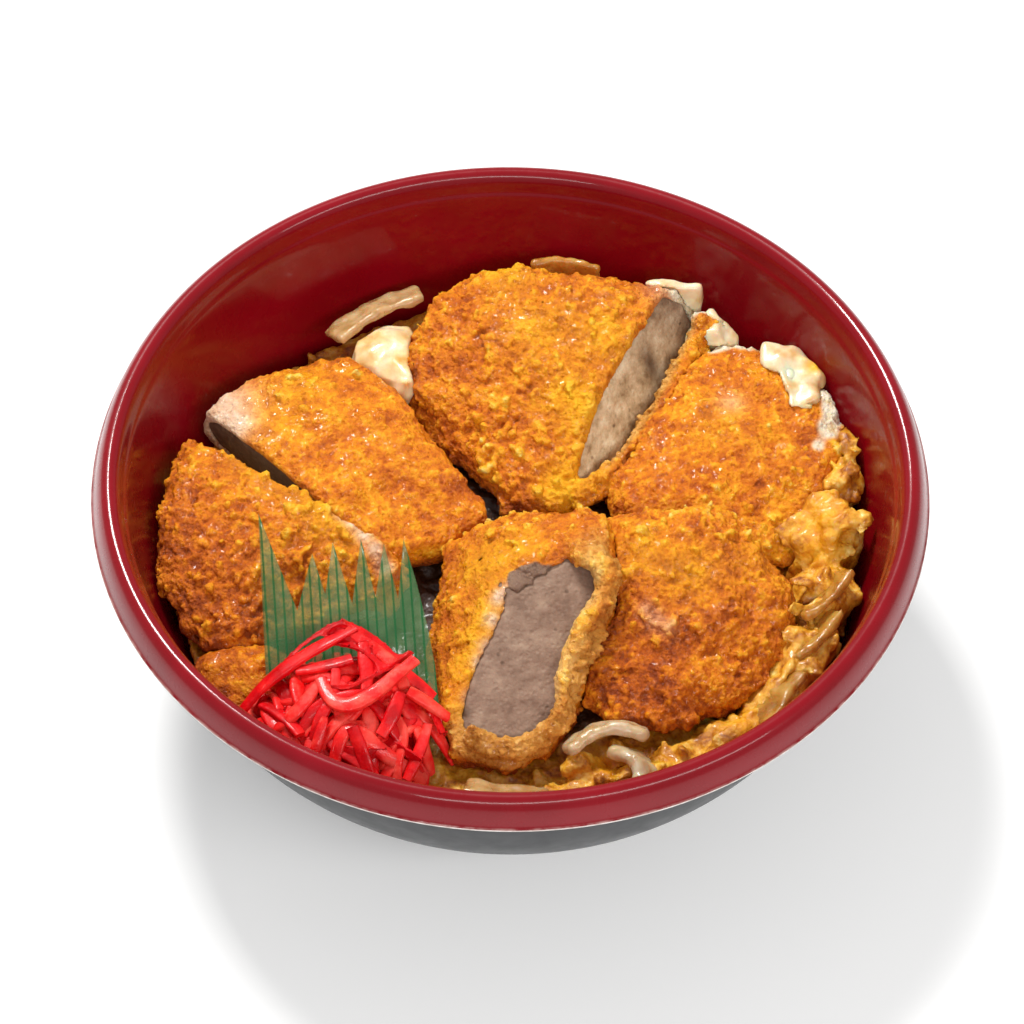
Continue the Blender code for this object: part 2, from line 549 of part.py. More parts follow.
def rice():
    """The bed of rice, banked up where it shows at the front right."""
    def ring(z, share=1.0):
        points = []
        for angle, off in around_the_bed():
            bank = math.exp(-(off / RICE_BANK_HALF) ** 4)
            bank *= max(share - RICE_LEVEL_SHARE, 0.0) / (1.0 - RICE_LEVEL_SHARE)
            height = z + RICE_BANK * bank if z >= RICE_TOP else z
            reach = room_radius(height) * share
            place = Vector((math.cos(angle) * reach, math.sin(angle) * reach, height))
            if z >= RICE_TOP:
                place.z += GRAIN_DEPTH * (noise.noise(place / GRAIN_SIZE) - 1.0)
            points.append(place)
        return points

    floor = FLOOR_Z + GAP * 2
    inside_floor = FLOOR_RADIUS / inner_radius(FLOOR_EDGE_Z)
    rings = [[Vector((p.x * inside_floor, p.y * inside_floor, floor)) for p in ring(FLOOR_EDGE_Z)]]
    rings += [ring(z) for z in WALL_HEIGHTS if FLOOR_EDGE_Z < z < RICE_TOP]
    rings += [ring(RICE_TOP, share) for share in (1.0, 0.94, RICE_LEVEL_SHARE)]
    shape = skin(rings, (0, 0, floor), (0, 0, RICE_TOP - GRAIN_DEPTH))
    return new_object("rice", shape, "rice")


def curd(middle, half_sizes, turn, seed):
    """One soft lump of egg, stretched and turned."""
    shape = bmesh.new()
    bmesh.ops.create_icosphere(shape, subdivisions=1, radius=1.0)
    place = Matrix.Translation(middle) @ Matrix.Rotation(math.radians(turn), 4, "Z")
    shape.transform(place @ Matrix.Diagonal((*half_sizes, 1.0)))
    roughen(shape, CURD_SIZE, CURD_DEPTH, seed)
    hold_in_bowl(shape)
    for vert in shape.verts:
        vert.co.z = max(vert.co.z, EGG_BASE + CURD_LIFT)
    return new_object("curd", shape, "egg")


def egg():
    """The bed of simmered egg, with its curds fused on, open where the rice shows."""
    def ring(z, share):
        points = []
        for angle, off in around_the_bed():
            edge = room_radius(EGG_BASE)
            edge -= EGG_BAY * math.exp(-(off / EGG_BAY_HALF) ** 6)
            points.append(Vector((math.cos(angle), math.sin(angle), 0)) * edge * share)
            points[-1].z = z
        return points

    rings = [ring(EGG_BASE, 0.5), ring(EGG_BASE, 1.0), ring(EGG_TOP, 1.0), ring(EGG_TOP, 0.5)]
    bed = new_object("egg", skin(rings, (0, 0, EGG_BASE), (0, 0, EGG_TOP)), "egg")
    lumps = [curd(item[:3], item[3:6], item[6], seed) for seed, item in enumerate(CURDS)]
    combine(bed, lumps, "UNION", "MANIFOLD")
    return bed


def cutlet(name, piece, cut=None, lip=None):
    """A piece of breaded cutlet with its crust in crags, sliced where the knife went."""
    shape = loaf(**piece)
    if cut:
        slice_off(shape, *cut)
    coat = new_object(name, shape, "crust")
    if lip:
        route, thick = lip
        ragged = strip(route, thick, thick, LIP_LEAN, LIP_POINTS)
        roughen(ragged, CRUMB_SIZE * 0.6, CRUMB_DEPTH, piece["seed"])
        combine(coat, [new_object(name + ".lip", ragged, "crust")], "UNION")
    return coat


def meat_of(piece, crust):
    """The whole meat of a piece, as far below its surface as its crust is thick."""
    shape = loaf(**piece, inset=crust, rough=0.0, count=MEAT_POINTS)
    bmesh.ops.triangulate(shape, faces=shape.faces)
    return shape


def pork_in(name, coat, piece, cut, neighbours=(), crust=CRUST):
    """The meat in a cut piece, a little below the crust at the cut, and the hollow for it."""
    point, facing = cut
    whole = new_object(name + ".whole", meat_of(piece, crust), "pork")
    make_room(coat, [whole], room=MEAT_ROOM)
    bpy.data.objects.remove(whole, do_unlink=True)
    meat = meat_of(piece, crust)
    slice_off(meat, point, facing, deeper=CUT_RECESS)
    pork = new_object(name, meat, "pork")
    if neighbours:
        make_room(pork, neighbours)
    return pork


def white(name, outline, under):
    """Egg white that set over the pieces under it, and follows them."""
    shape = loaf(outline, flare=0.0004, crown=0.0006, corner=0.0012, seed=len(name), base=WHITE_BASE,
                 rough=0.0005, count=WHITE_POINTS)
    patch = new_object(name, shape, "white")
    make_room(patch, under)
    return patch


def strip(points, width, depth, lean, count):
    """A bar of rectangular section along a smooth line, its wide side leaning from upright."""
    line = smooth_line(points, count, False)
    rings = []
    for index, place in enumerate(line):
        before = line[max(index - 1, 0)]
        after = line[min(index + 1, count - 1)]
        along = (after - before).normalized()
        side = along.cross(Vector((0, 0, 1))).normalized()
        tall = side.cross(along)
        turn = Matrix.Rotation(math.radians(lean), 3, along)
        side, tall = turn @ side * depth / 2, turn @ tall * width / 2
        rings.append([place + side + tall, place - side + tall, place - side - tall,
                      place + side - tall])
    return skin(rings, line[0], line[-1])


def onion(name, points, width, lean):
    """One translucent slice of onion."""
    shape = strip(points, width, ONION_THICKNESS, lean, ONION_POINTS)
    hold_in_bowl(shape)
    return new_object(name, shape, "onion")


def divider():
    """The thin green sheet with its row of pointed blades, both faces split alike."""
    columns = []
    for u, top in DIVIDER_COLUMNS:
        foot = DIVIDER_LEFT.lerp(DIVIDER_RIGHT, u)
        rise = DIVIDER_RISE_LEFT.lerp(DIVIDER_RISE_RIGHT, u)
        foot.y -= DIVIDER_SAG * math.sin(math.pi * u)
        out = (DIVIDER_RIGHT - DIVIDER_LEFT).cross(rise).normalized()
        wave = DIVIDER_WAVE * math.sin(u * DIVIDER_WAVES)
        columns.append([(foot + rise * top * k / (DIVIDER_ROWS - 1) + out * wave, out)
                        for k in range(DIVIDER_ROWS)])
    shape = bmesh.new()
    half = DIVIDER_THICKNESS / 2
    faces = [[[shape.verts.new(place + out * half * way) for place, out in column]
              for column in columns] for way in (1, -1)]
    rows = range(DIVIDER_ROWS - 1)
    for front, back in zip(zip(faces[0], faces[0][1:]), zip(faces[1], faces[1][1:])):
        for row in rows:
            for (left, right), flip in ((front, False), (back, True)):
                for corners in ((left[row], right[row], right[row + 1]),
                                (left[row], right[row + 1], left[row + 1])):
                    shape.faces.new(corners[::-1] if flip else corners)
        for end in (0, -1):
            shape.faces.new((front[0][end], front[1][end], back[1][end], back[0][end]))
    for column in (0, -1):
        for row in rows:
            a, b = faces[0][column], faces[1][column]
            shape.faces.new((a[row], a[row + 1], b[row + 1], b[row]))
    bmesh.ops.triangulate(shape, faces=[face for face in shape.faces if len(face.verts) > 3])
    return new_object("divider", shape, "divider", smooth=False)


def ginger(neighbours):
    """The heap of red ginger: a low core with its strips fused on."""
    core = new_object("ginger", loaf(GINGER_CORE, flare=0.001, crown=0.0025, corner=0.003, seed=3,
                                     rough=0.0006, count=GINGER_SIDES), "ginger")
    draw = random.Random(GINGER_SEED)
    routes = list(GINGER_STRIPS)
    for index in range(GINGER_LOOSE):
        share = (index + 0.5) / GINGER_LOOSE
        angle = GOLDEN_ANGLE * index
        reach = math.sqrt(share)
        middle = GINGER_MIDDLE + Vector((math.cos(angle) * reach * GINGER_REACH.x,
                                         math.sin(angle) * reach * GINGER_REACH.y,
                                         -GINGER_DROP * share))
        way = draw.uniform(0, math.pi)
        run = Vector((math.cos(way), math.sin(way), 0)) * draw.uniform(0.006, 0.009)
        side = Vector((-run.y, run.x, 0)) * draw.uniform(-0.35, 0.35)
        drop = Vector((0, 0, draw.uniform(0.0015, 0.004)))
        routes.append([middle - run - drop, middle + side, middle + run - drop])
    strips = []
    for index, route in enumerate(routes):
        lean = draw.uniform(20, 70)
        shape = strip(route, GINGER_WIDTH, GINGER_DEPTH, lean, GINGER_POINTS)
        for vert in shape.verts:
            vert.co.z = max(vert.co.z, CUTLET_BASE)
        hold_in_bowl(shape)
        strips.append(new_object(f"strip{index}", shape, "ginger"))
    combine(core, strips, "UNION", "MANIFOLD")
    make_room(core, neighbours, "MANIFOLD")
    return core


def build():
    """Every piece, each cut to leave room for the pieces that lie over it."""
    clear_scene()
    pieces = [bowl(), rice()]
    grains = pieces[1]
    front = cutlet("katsu_front", FRONT, FRONT_CUT, FRONT_LIP)
    back = cutlet("katsu_back", BACK, BACK_CUT, BACK_LIP)
    front_right = cutlet("katsu_front_right", FRONT_RIGHT)
    right = cutlet("katsu_right", RIGHT)
    left_front = cutlet("katsu_left_front", LEFT_FRONT, LEFT_FRONT_CUT)
    left_back = cutlet("katsu_left_back", LEFT_BACK, LEFT_BACK_CUT)
    left_end = cutlet("katsu_left_end", LEFT_END)
    make_room(right, [back, front_right])
    make_room(front_right, [front])
    make_room(left_back, [back, front, left_front])
    make_room(left_front, [front])
    make_room(left_end, [left_front])
    coats = [front, back, front_right, right, left_front, left_back, left_end]
    whites = [
        white("egg_white_right", WHITE_RIGHT, [right]),
        white("egg_white_middle", WHITE_MIDDLE, [back, right]),
        white("egg_white_crest", WHITE_CREST, [back]),
        white("egg_white_left", WHITE_LEFT, [left_back, back]),
    ]
    make_room(whites[1], [whites[0]])
    make_room(whites[2], [whites[1]])
    onions = [onion(name, *values) for name, values in ONIONS.items()]
    for slice_of_onion in onions:
        make_room(slice_of_onion, [front, front_right])
    make_room(onions[-1], [whites[3]])
    sheet = divider()
    bed = egg()
    make_room(bed, coats + whites + onions + [grains], "MANIFOLD")
    heap = ginger([sheet, left_front, left_end, front])
    pork = [
        pork_in("pork_front", front, FRONT, FRONT_CUT, crust=FRONT_CRUST),
        pork_in("pork_back", back, BACK, BACK_CUT),
        pork_in("pork_left_back", left_back, LEFT_BACK, LEFT_BACK_CUT,
                [front, back, left_front]),
        pork_in("pork_left_front", left_front, LEFT_FRONT, LEFT_FRONT_CUT,
                [front, left_end]),
    ]
    pieces += coats + whites + onions + [sheet, bed, heap] + pork
    serving = bpy.data.objects.new("katsudon", None)
    bpy.context.scene.collection.objects.link(serving)
    for piece in pieces:
        piece.parent = serving


build()
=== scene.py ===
"""Looks of the katsudon: crust, cut meat, egg, onion, ginger and divider, in a red and black bowl."""

import json
import math
import random

import bpy
import numpy as np
from mathutils import Matrix, Vector
from mathutils.bvhtree import BVHTree

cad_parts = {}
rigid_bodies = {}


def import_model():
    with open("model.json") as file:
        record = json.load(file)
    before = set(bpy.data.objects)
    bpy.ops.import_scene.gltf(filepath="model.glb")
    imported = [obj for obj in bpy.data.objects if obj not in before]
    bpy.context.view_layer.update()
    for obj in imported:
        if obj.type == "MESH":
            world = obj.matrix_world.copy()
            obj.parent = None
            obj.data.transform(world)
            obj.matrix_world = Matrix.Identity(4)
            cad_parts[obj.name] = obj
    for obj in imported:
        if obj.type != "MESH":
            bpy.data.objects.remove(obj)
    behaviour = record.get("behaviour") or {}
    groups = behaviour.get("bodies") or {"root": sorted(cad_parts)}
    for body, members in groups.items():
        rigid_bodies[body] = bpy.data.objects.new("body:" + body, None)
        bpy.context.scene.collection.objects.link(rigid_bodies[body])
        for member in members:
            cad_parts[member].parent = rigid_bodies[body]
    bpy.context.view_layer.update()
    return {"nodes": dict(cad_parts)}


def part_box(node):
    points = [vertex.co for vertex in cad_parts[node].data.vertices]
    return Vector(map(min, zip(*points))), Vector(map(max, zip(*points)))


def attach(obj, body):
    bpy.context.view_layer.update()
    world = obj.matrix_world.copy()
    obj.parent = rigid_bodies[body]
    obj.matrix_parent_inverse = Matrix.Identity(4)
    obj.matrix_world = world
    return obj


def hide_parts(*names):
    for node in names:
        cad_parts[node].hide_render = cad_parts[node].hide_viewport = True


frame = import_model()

# Where the photograph was taken from, in metres, millimetres for the lens, and degrees
RIM_MIDDLE = Vector((0.0, 0.0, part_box("bowl")[1].z))
CAMERA_DISTANCE = 0.900
CAMERA_ELEVATION = 51.0
CAMERA_ASIDE = -0.0025
CAMERA_LENS = 149.8
CAMERA_DOWN = 0.64
CAMERA_RIGHT = 0.18
CAMERA_ROLL = 0.4

# Sizes of the surface detail, in metres, and the most triangles in a piece
CRUST_VOXEL = 0.00040
FOOD_VOXEL = 0.0006
MERGE = 0.000001
MOST_TRIANGLES = 190000


def put_down():
    """Nothing selected."""
    bpy.ops.object.select_all(action="DESELECT")


def pick_up(piece):
    """Only this piece selected, and active."""
    put_down()
    piece.select_set(True)
    bpy.context.view_layer.objects.active = piece


def set_modifiers(piece):
    """Make the modifiers' work part of the mesh."""
    pick_up(piece)
    for modifier in list(piece.modifiers):
        bpy.ops.object.modifier_apply(modifier=modifier.name)


def cast_from(node, name):
    """A copy of a plain solid of the frame, its loose triangles merged, to be worked up finely."""
    piece = bpy.data.objects.new(name, frame["nodes"][node].data.copy())
    bpy.context.scene.collection.objects.link(piece)
    piece.data.materials.clear()
    pick_up(piece)
    bpy.ops.object.mode_set(mode="EDIT")
    bpy.ops.mesh.select_all(action="SELECT")
    bpy.ops.mesh.remove_doubles(threshold=MERGE)
    bpy.ops.object.mode_set(mode="OBJECT")
    return piece


def even_out(piece, voxel, rounds):
    """Fine even faces, and the solid's flat facets rounded off."""
    remesh = piece.modifiers.new("even", "REMESH")
    remesh.mode = "VOXEL"
    remesh.voxel_size = voxel
    soften = piece.modifiers.new("soften", "SMOOTH")
    soften.factor = 0.5
    soften.iterations = rounds
    set_modifiers(piece)


def thin_out(piece):
    """Keep a piece below the most triangles that its file may have."""
    count = sum(len(face.vertices) - 2 for face in piece.data.polygons)
    if count > MOST_TRIANGLES:
        fewer = piece.modifiers.new("fewer", "DECIMATE")
        fewer.ratio = MOST_TRIANGLES / count
        set_modifiers(piece)


def swell(piece, by):
    """Push the whole surface out, or in where the number is negative."""
    push = piece.modifiers.new("swell", "DISPLACE")
    push.strength = by
    push.mid_level = 0.0
    set_modifiers(piece)


def relief(piece, size, depth, detail=1, middle=0.5, kind="CLOUDS"):
    """Raise a relief of the given size and depth on a piece, from one of the old textures."""
    texture = bpy.data.textures.new(kind.lower(), kind)
    texture.noise_scale = size
    if kind == "CLOUDS":
        texture.noise_depth = detail
    push = piece.modifiers.new("relief", "DISPLACE")
    push.texture = texture
    push.strength = depth
    push.mid_level = middle
    set_modifiers(piece)
    bpy.data.textures.remove(texture)


def places(piece):
    """The piece's points as rows of x, y and z."""
    spots = np.empty(len(piece.data.vertices) * 3, np.float32)
    piece.data.vertices.foreach_get("co", spots)
    return spots.reshape(-1, 3)


def put_places(piece, spots):
    """Move the piece's points."""
    piece.data.vertices.foreach_set("co", spots.astype(np.float32).ravel())
    piece.data.update()


def mark(piece, name, values):
    """Keep one number for each point, which the material reads."""
    held = piece.data.attributes.get(name) or piece.data.attributes.new(name, "FLOAT", "POINT")
    held.data.foreach_set("value", np.asarray(values, np.float32))


def settle(piece, slot, *nodes):
    """Smooth shading, and the piece's place in the frame."""
    piece.data.shade_smooth()
    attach(piece, "root")
    if nodes:
        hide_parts(*nodes)
    return piece


def finish_piece(piece, material, slot, *nodes):
    """Material, smooth shading and its place in the frame."""
    piece.data.materials.clear()
    piece.data.materials.append(material)
    return settle(piece, slot, *nodes)


def wall_reach():
    """Height and inner radius of the bowl's wall, read off the frame's bowl."""
    bowl = frame["nodes"]["bowl"]
    spots = places(bowl)
    reach = np.hypot(spots[:, 0], spots[:, 1])
    heights = np.linspace(FLOOR_EDGE_Z, STEP_Z, WALL_RINGS)
    radii = []
    for height in heights:
        hit, place, *_ = bowl.ray_cast(Vector((0, 0, height)), Vector((0, -1, 0)))
        radii.append(math.hypot(place.x, place.y) if hit else reach.max())
    return heights, np.array(radii)


def hold_in_bowl(piece, room=0.0003):
    """Pull in the points that would cross the bowl's wall."""
    spots = places(piece)
    reach = np.hypot(spots[:, 0], spots[:, 1])
    most = np.interp(spots[:, 2], WALL_HEIGHTS, WALL_RADII) - room
    pull = np.where(reach > most, most / np.maximum(reach, MERGE), 1.0)
    spots[:, :2] *= pull[:, None]
    put_places(piece, spots)


def joined(first, *others):
    """Several pieces made one."""
    pick_up(first)
    for other in others:
        other.select_set(True)
    bpy.ops.object.join()
    return first


def feel(piece):
    """A tree of the piece's faces, to find what lies nearest or below."""
    return BVHTree.FromObject(piece, bpy.context.evaluated_depsgraph_get())


def calm(piece, before, share):
    """Let only a share of the relief that was raised since then stand."""
    put_places(piece, before + (places(piece) - before) * share[:, None])


def far_from(tree, points):
    """How far each point is from a tree's faces, less than nothing where it is behind them."""
    away = np.zeros(len(points))
    for index, point in enumerate(points):
        spot, way, _, reach = tree.find_nearest(Vector(point))
        away[index] = math.copysign(reach, (Vector(point) - spot).dot(way))
    return away


def ground_height(x, y, trees, otherwise=0.03):
    """Height of the topmost face over a place."""
    heights = [otherwise]
    for tree in trees:
        spot = tree.ray_cast(Vector((x, y, 0.09)), Vector((0, 0, -1)))[0]
        if spot:
            heights.append(spot.z)
    return max(heights)


def ease(values, low, high):
    """From 0 at the low value to 1 at the high one, without corners."""
    share = np.clip((values - low) / (high - low), 0.0, 1.0)
    return share * share * (3.0 - 2.0 * share)


# Materials: their colours, as (place, red, green, blue), from the deepest part to the highest or palest

# The crust's deepest stops colour its hollows, partly as painted shade
GOLDEN = [(0.05, 0.26, 0.040, 0.001), (0.24, 0.52, 0.108, 0.002), (0.40, 0.71, 0.192, 0.003),
          (0.56, 0.84, 0.305, 0.005), (0.72, 0.93, 0.465, 0.020), (0.90, 0.98, 0.740, 0.200)]
FILM = [(0.15, 0.74, 0.260, 0.003), (0.45, 0.90, 0.410, 0.005), (0.80, 0.97, 0.580, 0.025)]
BREAD = [(0.10, 0.40, 0.130, 0.010), (0.40, 0.66, 0.290, 0.045), (0.80, 0.88, 0.520, 0.160)]
FAT = [(0.15, 0.62, 0.330, 0.180), (0.45, 0.84, 0.590, 0.400), (0.80, 0.95, 0.820, 0.650)]
WHITE_ON_CRUST = [(0.10, 0.76, 0.520, 0.240), (0.35, 0.86, 0.740, 0.520), (0.70, 0.92, 0.860, 0.720)]
MEAT_ON_CRUST = [(0.15, 0.190, 0.105, 0.068), (0.45, 0.260, 0.155, 0.103), (0.80, 0.350, 0.230, 0.160)]
GREY_MEAT = [(0.0, 0.170, 0.092, 0.058), (0.3, 0.228, 0.133, 0.087), (0.6, 0.275, 0.168, 0.113),
             (1.0, 0.355, 0.235, 0.160)]
# Warmer beige meat, brighter than the grey: partly the meat's own tone, partly painted light on a cut face
# turned from the key light
BEIGE_MEAT = [(0.0, 0.300, 0.190, 0.090), (0.3, 0.520, 0.370, 0.205), (0.6, 0.700, 0.530, 0.320),
              (1.0, 0.920, 0.790, 0.540)]
# Dark colour of the meat's pores, and of the painted shade in its hollows and over a shaded cut face
MEAT_HOLLOW = (0.075, 0.036, 0.018)
EGG = [(0.05, 0.30, 0.080, 0.004), (0.26, 0.55, 0.195, 0.010), (0.45, 0.74, 0.320, 0.016),
       (0.65, 0.87, 0.450, 0.035), (0.90, 0.95, 0.660, 0.170)]
YOLK = [(0.10, 0.74, 0.270, 0.005), (0.50, 0.88, 0.410, 0.010), (0.90, 0.94, 0.570, 0.060)]
YOLK_ON_WHITE = (0.90, 0.52, 0.03)
# Nearly black painted shade, for the egg that lies low in the gaps between the pieces
SOY = (0.050, 0.014, 0.003)
SAUCE_STAIN = (0.30, 0.110, 0.040)
EGG_WHITE = [(0.32, 0.68, 0.42, 0.16), (0.46, 0.80, 0.62, 0.36), (0.60, 0.87, 0.74, 0.51),
             (0.75, 0.90, 0.82, 0.65)]
ONION = [(0.32, 0.72, 0.50, 0.22), (0.50, 0.84, 0.68, 0.40), (0.70, 0.92, 0.84, 0.64)]
SOAKED_ONION = [(0.32, 0.48, 0.19, 0.012), (0.50, 0.70, 0.32, 0.025), (0.70, 0.84, 0.48, 0.080)]
RICE = [(0.3, 0.50, 0.42, 0.31), (0.55, 0.64, 0.58, 0.48), (0.75, 0.74, 0.70, 0.62)]
GINGER = [(0.05, 0.46, 0.000, 0.002), (0.30, 0.66, 0.001, 0.005), (0.60, 0.86, 0.014, 0.012),
          (0.95, 0.98, 0.095, 0.065)]
GREEN = ((0.075, 0.225, 0.075), (0.160, 0.320, 0.130))
GREEN_LINE = (0.006, 0.140, 0.030)
RED = ((0.205, 0.0008, 0.0050), (0.245, 0.0012, 0.0075))
WORN_RED = (0.46, 0.24, 0.22)
BLACK = ((0.018, 0.020, 0.023), (0.026, 0.029, 0.032))
FOAM = ((0.58, 0.50, 0.46), (0.80, 0.74, 0.70))
FLOOR = [(0.3, 0.88, 0.88, 0.88), (0.7, 0.90, 0.90, 0.90)]


def new_material(name, **constants):
    """A material, its Principled shader, whose plain numbers are set, and its object coordinates."""
    material = bpy.data.materials.new(name)
    material.use_nodes = True
    tree = material.node_tree
    shader = tree.nodes["Principled BSDF"]
    feed(shader, {key.replace("_", " "): value for key, value in constants.items()})
    return material, shader, add(tree, "ShaderNodeTexCoord").outputs["Object"]


def feed(node, values):
    """Give a node's inputs their values, by name or number."""
    for key, value in values.items():
        if isinstance(value, bpy.types.NodeSocket):
            node.id_data.links.new(value, node.inputs[key])
        else:
            node.inputs[key].default_value = value


def add(tree, kind, values=None, **settings):
    """A node with its settings and the values of its inputs."""
    node = tree.nodes.new(kind)
    for key, value in settings.items():
        setattr(node, key, value)
    feed(node, values or {})
    return node


def tree_of(*values):
    """The node tree of the first socket among some values."""
    return [value for value in values if isinstance(value, bpy.types.NodeSocket)][0].id_data


def ramp(factor, stops):
    """A colour ramp."""
    node = add(tree_of(factor), "ShaderNodeValToRGB", {"Fac": factor})
    elements = node.color_ramp.elements
    while len(elements) < len(stops):
        elements.new(0.5)
    for element, (place, *colour) in zip(elements, stops):
        element.position = place
        element.color = (*colour, 1.0)
    return node.outputs["Color"]


def noise(place, size, detail=4.0, rough=0.5, distortion=0.0):
    """Noise of a size in metres."""
    node = add(tree_of(place), "ShaderNodeTexNoise", {"Vector": place, "Scale": 1.0 / size, "Detail": detail,
                                                      "Roughness": rough, "Distortion": distortion})
    return node.outputs["Fac"]


def cells(place, size):
    """Cells of a size in metres: the distance from each one's middle, and a tone for each one."""
    node = add(tree_of(place), "ShaderNodeTexVoronoi", {"Vector": place, "Scale": 1.0 / size})
    tone = add(tree_of(place), "ShaderNodeSeparateColor", {"Color": node.outputs["Color"]})
    return node.outputs["Distance"], tone.outputs["Red"]


def mix(factor, first, second, blend="MIX"):
    """Mix two colours."""
    tree = tree_of(factor, first, second)
    node = add(tree, "ShaderNodeMix", data_type="RGBA", blend_type=blend)
    for key, value in (("Factor", factor), ("A", first), ("B", second)):
        target = [item for item in node.inputs if item.name == key and item.enabled][0]
        if isinstance(value, bpy.types.NodeSocket):
            tree.links.new(value, target)
        else:
            target.default_value = value if key == "Factor" else (*value, 1.0)
    return [item for item in node.outputs if item.enabled][0]


def remap(value, low, high, to_low=0.0, to_high=1.0):
    """Stretch a value from one range to another, held at the ends."""
    node = add(tree_of(value), "ShaderNodeMapRange", {"Value": value, "From Min": low, "From Max": high,
                                                      "To Min": to_low, "To Max": to_high})
    return node.outputs["Result"]


def maths(operation, first, second=0.0):
    """Arithmetic on two values."""
    tree = tree_of(first, second)
    return add(tree, "ShaderNodeMath", {0: first, 1: second}, operation=operation).outputs[0]


def weighed(*parts):
    """The sum of some values, each with its weight."""
    total = 0.0
    for value, weight in parts:
        total = maths("ADD", maths("MULTIPLY", value, weight), total)
    return total


def marked(place, name):
    """A number that the piece keeps at each of its points."""
    return add(tree_of(place), "ShaderNodeAttribute", attribute_name=name).outputs["Fac"]


def effect(name, takes, gives):
    """A group that materials share, with named inputs and outputs."""
    group = bpy.data.node_groups.new(name, "ShaderNodeTree")
    for key, value in takes.items():
        kind = "Vector" if key == "Place" else "Color" if isinstance(value, tuple) else "Float"
        socket = group.interface.new_socket(key, in_out="INPUT", socket_type="NodeSocket" + kind)
        if kind == "Color":
            socket.default_value = (*value, 1.0)
        elif kind == "Float":
            socket.default_value = value
    for key in gives:
        kind = "Color" if key == "Color" else "Float"
        group.interface.new_socket(key, in_out="OUTPUT", socket_type="NodeSocket" + kind)
    return group, group.nodes.new("NodeGroupInput").outputs, group.nodes.new("NodeGroupOutput")


def use(group, place, **values):
    """A shared effect, with its inputs by name."""
    named = {key.capitalize(): value for key, value in values.items()}
    return add(tree_of(place), "ShaderNodeGroup", {"Place": place, **named}, node_tree=group).outputs


def patches_effect():
    """Soft patches from 0 to 1, of a size in metres."""
    group, takes, gives = effect("patches", {"Place": None, "Size": 0.006, "Low": 0.38, "High": 0.62},
                                 ["Amount"])
    cloud = add(group, "ShaderNodeTexNoise", {"Vector": takes["Place"],
                                              "Scale": maths("DIVIDE", 1.0, takes["Size"]),
                                              "Detail": 3.0, "Roughness": 0.55, "Distortion": 0.3})
    feed(gives, {"Amount": remap(cloud.outputs["Fac"], takes["Low"], takes["High"])})
    return group


def grain_effect():
    """The height of a fine grain with pits in it."""
    group, takes, gives = effect("grain", {"Place": None, "Size": 0.0012, "Pits": 0.5}, ["Height"])
    per_metre = maths("DIVIDE", 1.0, takes["Size"])
    cloud = add(group, "ShaderNodeTexNoise", {"Vector": takes["Place"], "Scale": per_metre, "Detail": 5.0,
                                              "Roughness": 0.68})
    pit = add(group, "ShaderNodeTexVoronoi", {"Vector": takes["Place"],
                                              "Scale": maths("MULTIPLY", per_metre, 0.7)})
    sunk = maths("MULTIPLY", remap(pit.outputs["Distance"], 0.0, 0.45), takes["Pits"])
    feed(gives, {"Height": maths("ADD", cloud.outputs["Fac"], sunk)})
    return group


def sauce_effect(patches):
    """Sweet soya sauce: it browns the food in patches and leaves it wet; the food is also darker towards the
    bottom.
    """
    group, takes, gives = effect("sauce", {"Place": None, "Plain": (0.8, 0.6, 0.3), "Stain": 0.5,
                                           "Size": 0.007, "Low": 0.030, "High": 0.038},
                                 ["Color", "Wet"])
    patch = use(patches, takes["Place"], size=takes["Size"])["Amount"]
    rise = add(group, "ShaderNodeSeparateXYZ", {"Vector": takes["Place"]}).outputs["Z"]
    deep = remap(rise, takes["High"], takes["Low"])
    amount = maths("MAXIMUM", maths("MULTIPLY", patch, takes["Stain"]), deep)
    stained = mix(1.0, takes["Plain"], SAUCE_STAIN, "MULTIPLY")
    feed(gives, {"Color": mix(amount, takes["Plain"], stained), "Wet": patch})
    return group


PATCHES = patches_effect()
GRAIN = grain_effect()
SAUCE = sauce_effect(PATCHES)


def roughen(shader, place, size, pits, depth, strength):
    """A fine grain over a material."""
    height = use(GRAIN, place, size=size, pits=pits)["Height"]
    grain = add(tree_of(place), "ShaderNodeBump", {"Height": height, "Distance": depth, "Strength": strength})
    feed(shader, {"Normal": grain.outputs["Normal"]})


def crust_material():
    """Fried breadcrumbs under a sweet glaze: pale tips, golden sides, hollows darkened to deep orange as
    painted shade, and browner spots that are partly painted shade.
    """
    material, shader, place = new_material("fried_crust", Subsurface_Weight=0.15, Subsurface_Scale=0.002,
                                           Subsurface_Radius=(1.0, 0.40, 0.10), Specular_IOR_Level=0.28,
                                           Coat_Roughness=0.08, Coat_IOR=1.45)
    small = remap(noise(place, 0.0008, 4.0, 0.70), 0.34, 0.66)
    large = remap(noise(place, 0.0060, 3.0, 0.60), 0.36, 0.64)
    # Low points of the relief are darker, painted shade in the hollows; the brown marks darken too, partly as
    # painted shade.
    depth = weighed((marked(place, "relief"), 0.40), (cells(place, 0.0013)[1], 0.16), (small, 0.18),
                    (large, 0.26), (marked(place, "brown"), -0.22))
    colour = ramp(depth, GOLDEN)
    for name, stops in (("yellow", FILM), ("tan", BREAD), ("pale", FAT), ("white", WHITE_ON_CRUST),
                        ("meat", MEAT_ON_CRUST)):
        colour = mix(marked(place, name), colour, ramp(depth, stops))
    patch = use(PATCHES, place, size=0.0050, low=0.36, high=0.60)["Amount"]
    glazed = maths("MULTIPLY", patch, remap(cells(place, 0.0010)[1], 0.35, 0.55))
    wet = maths("MULTIPLY", glazed, maths("SUBTRACT", 1.0, marked(place, "meat")))
    feed(shader, {"Base Color": colour, "Roughness": remap(wet, 0.0, 1.0, 0.55, 0.18),
                  "Coat Weight": maths("MULTIPLY", wet, 0.40)})
    roughen(shader, place, 0.0008, 0.6, 0.0007, 1.0)
    return material


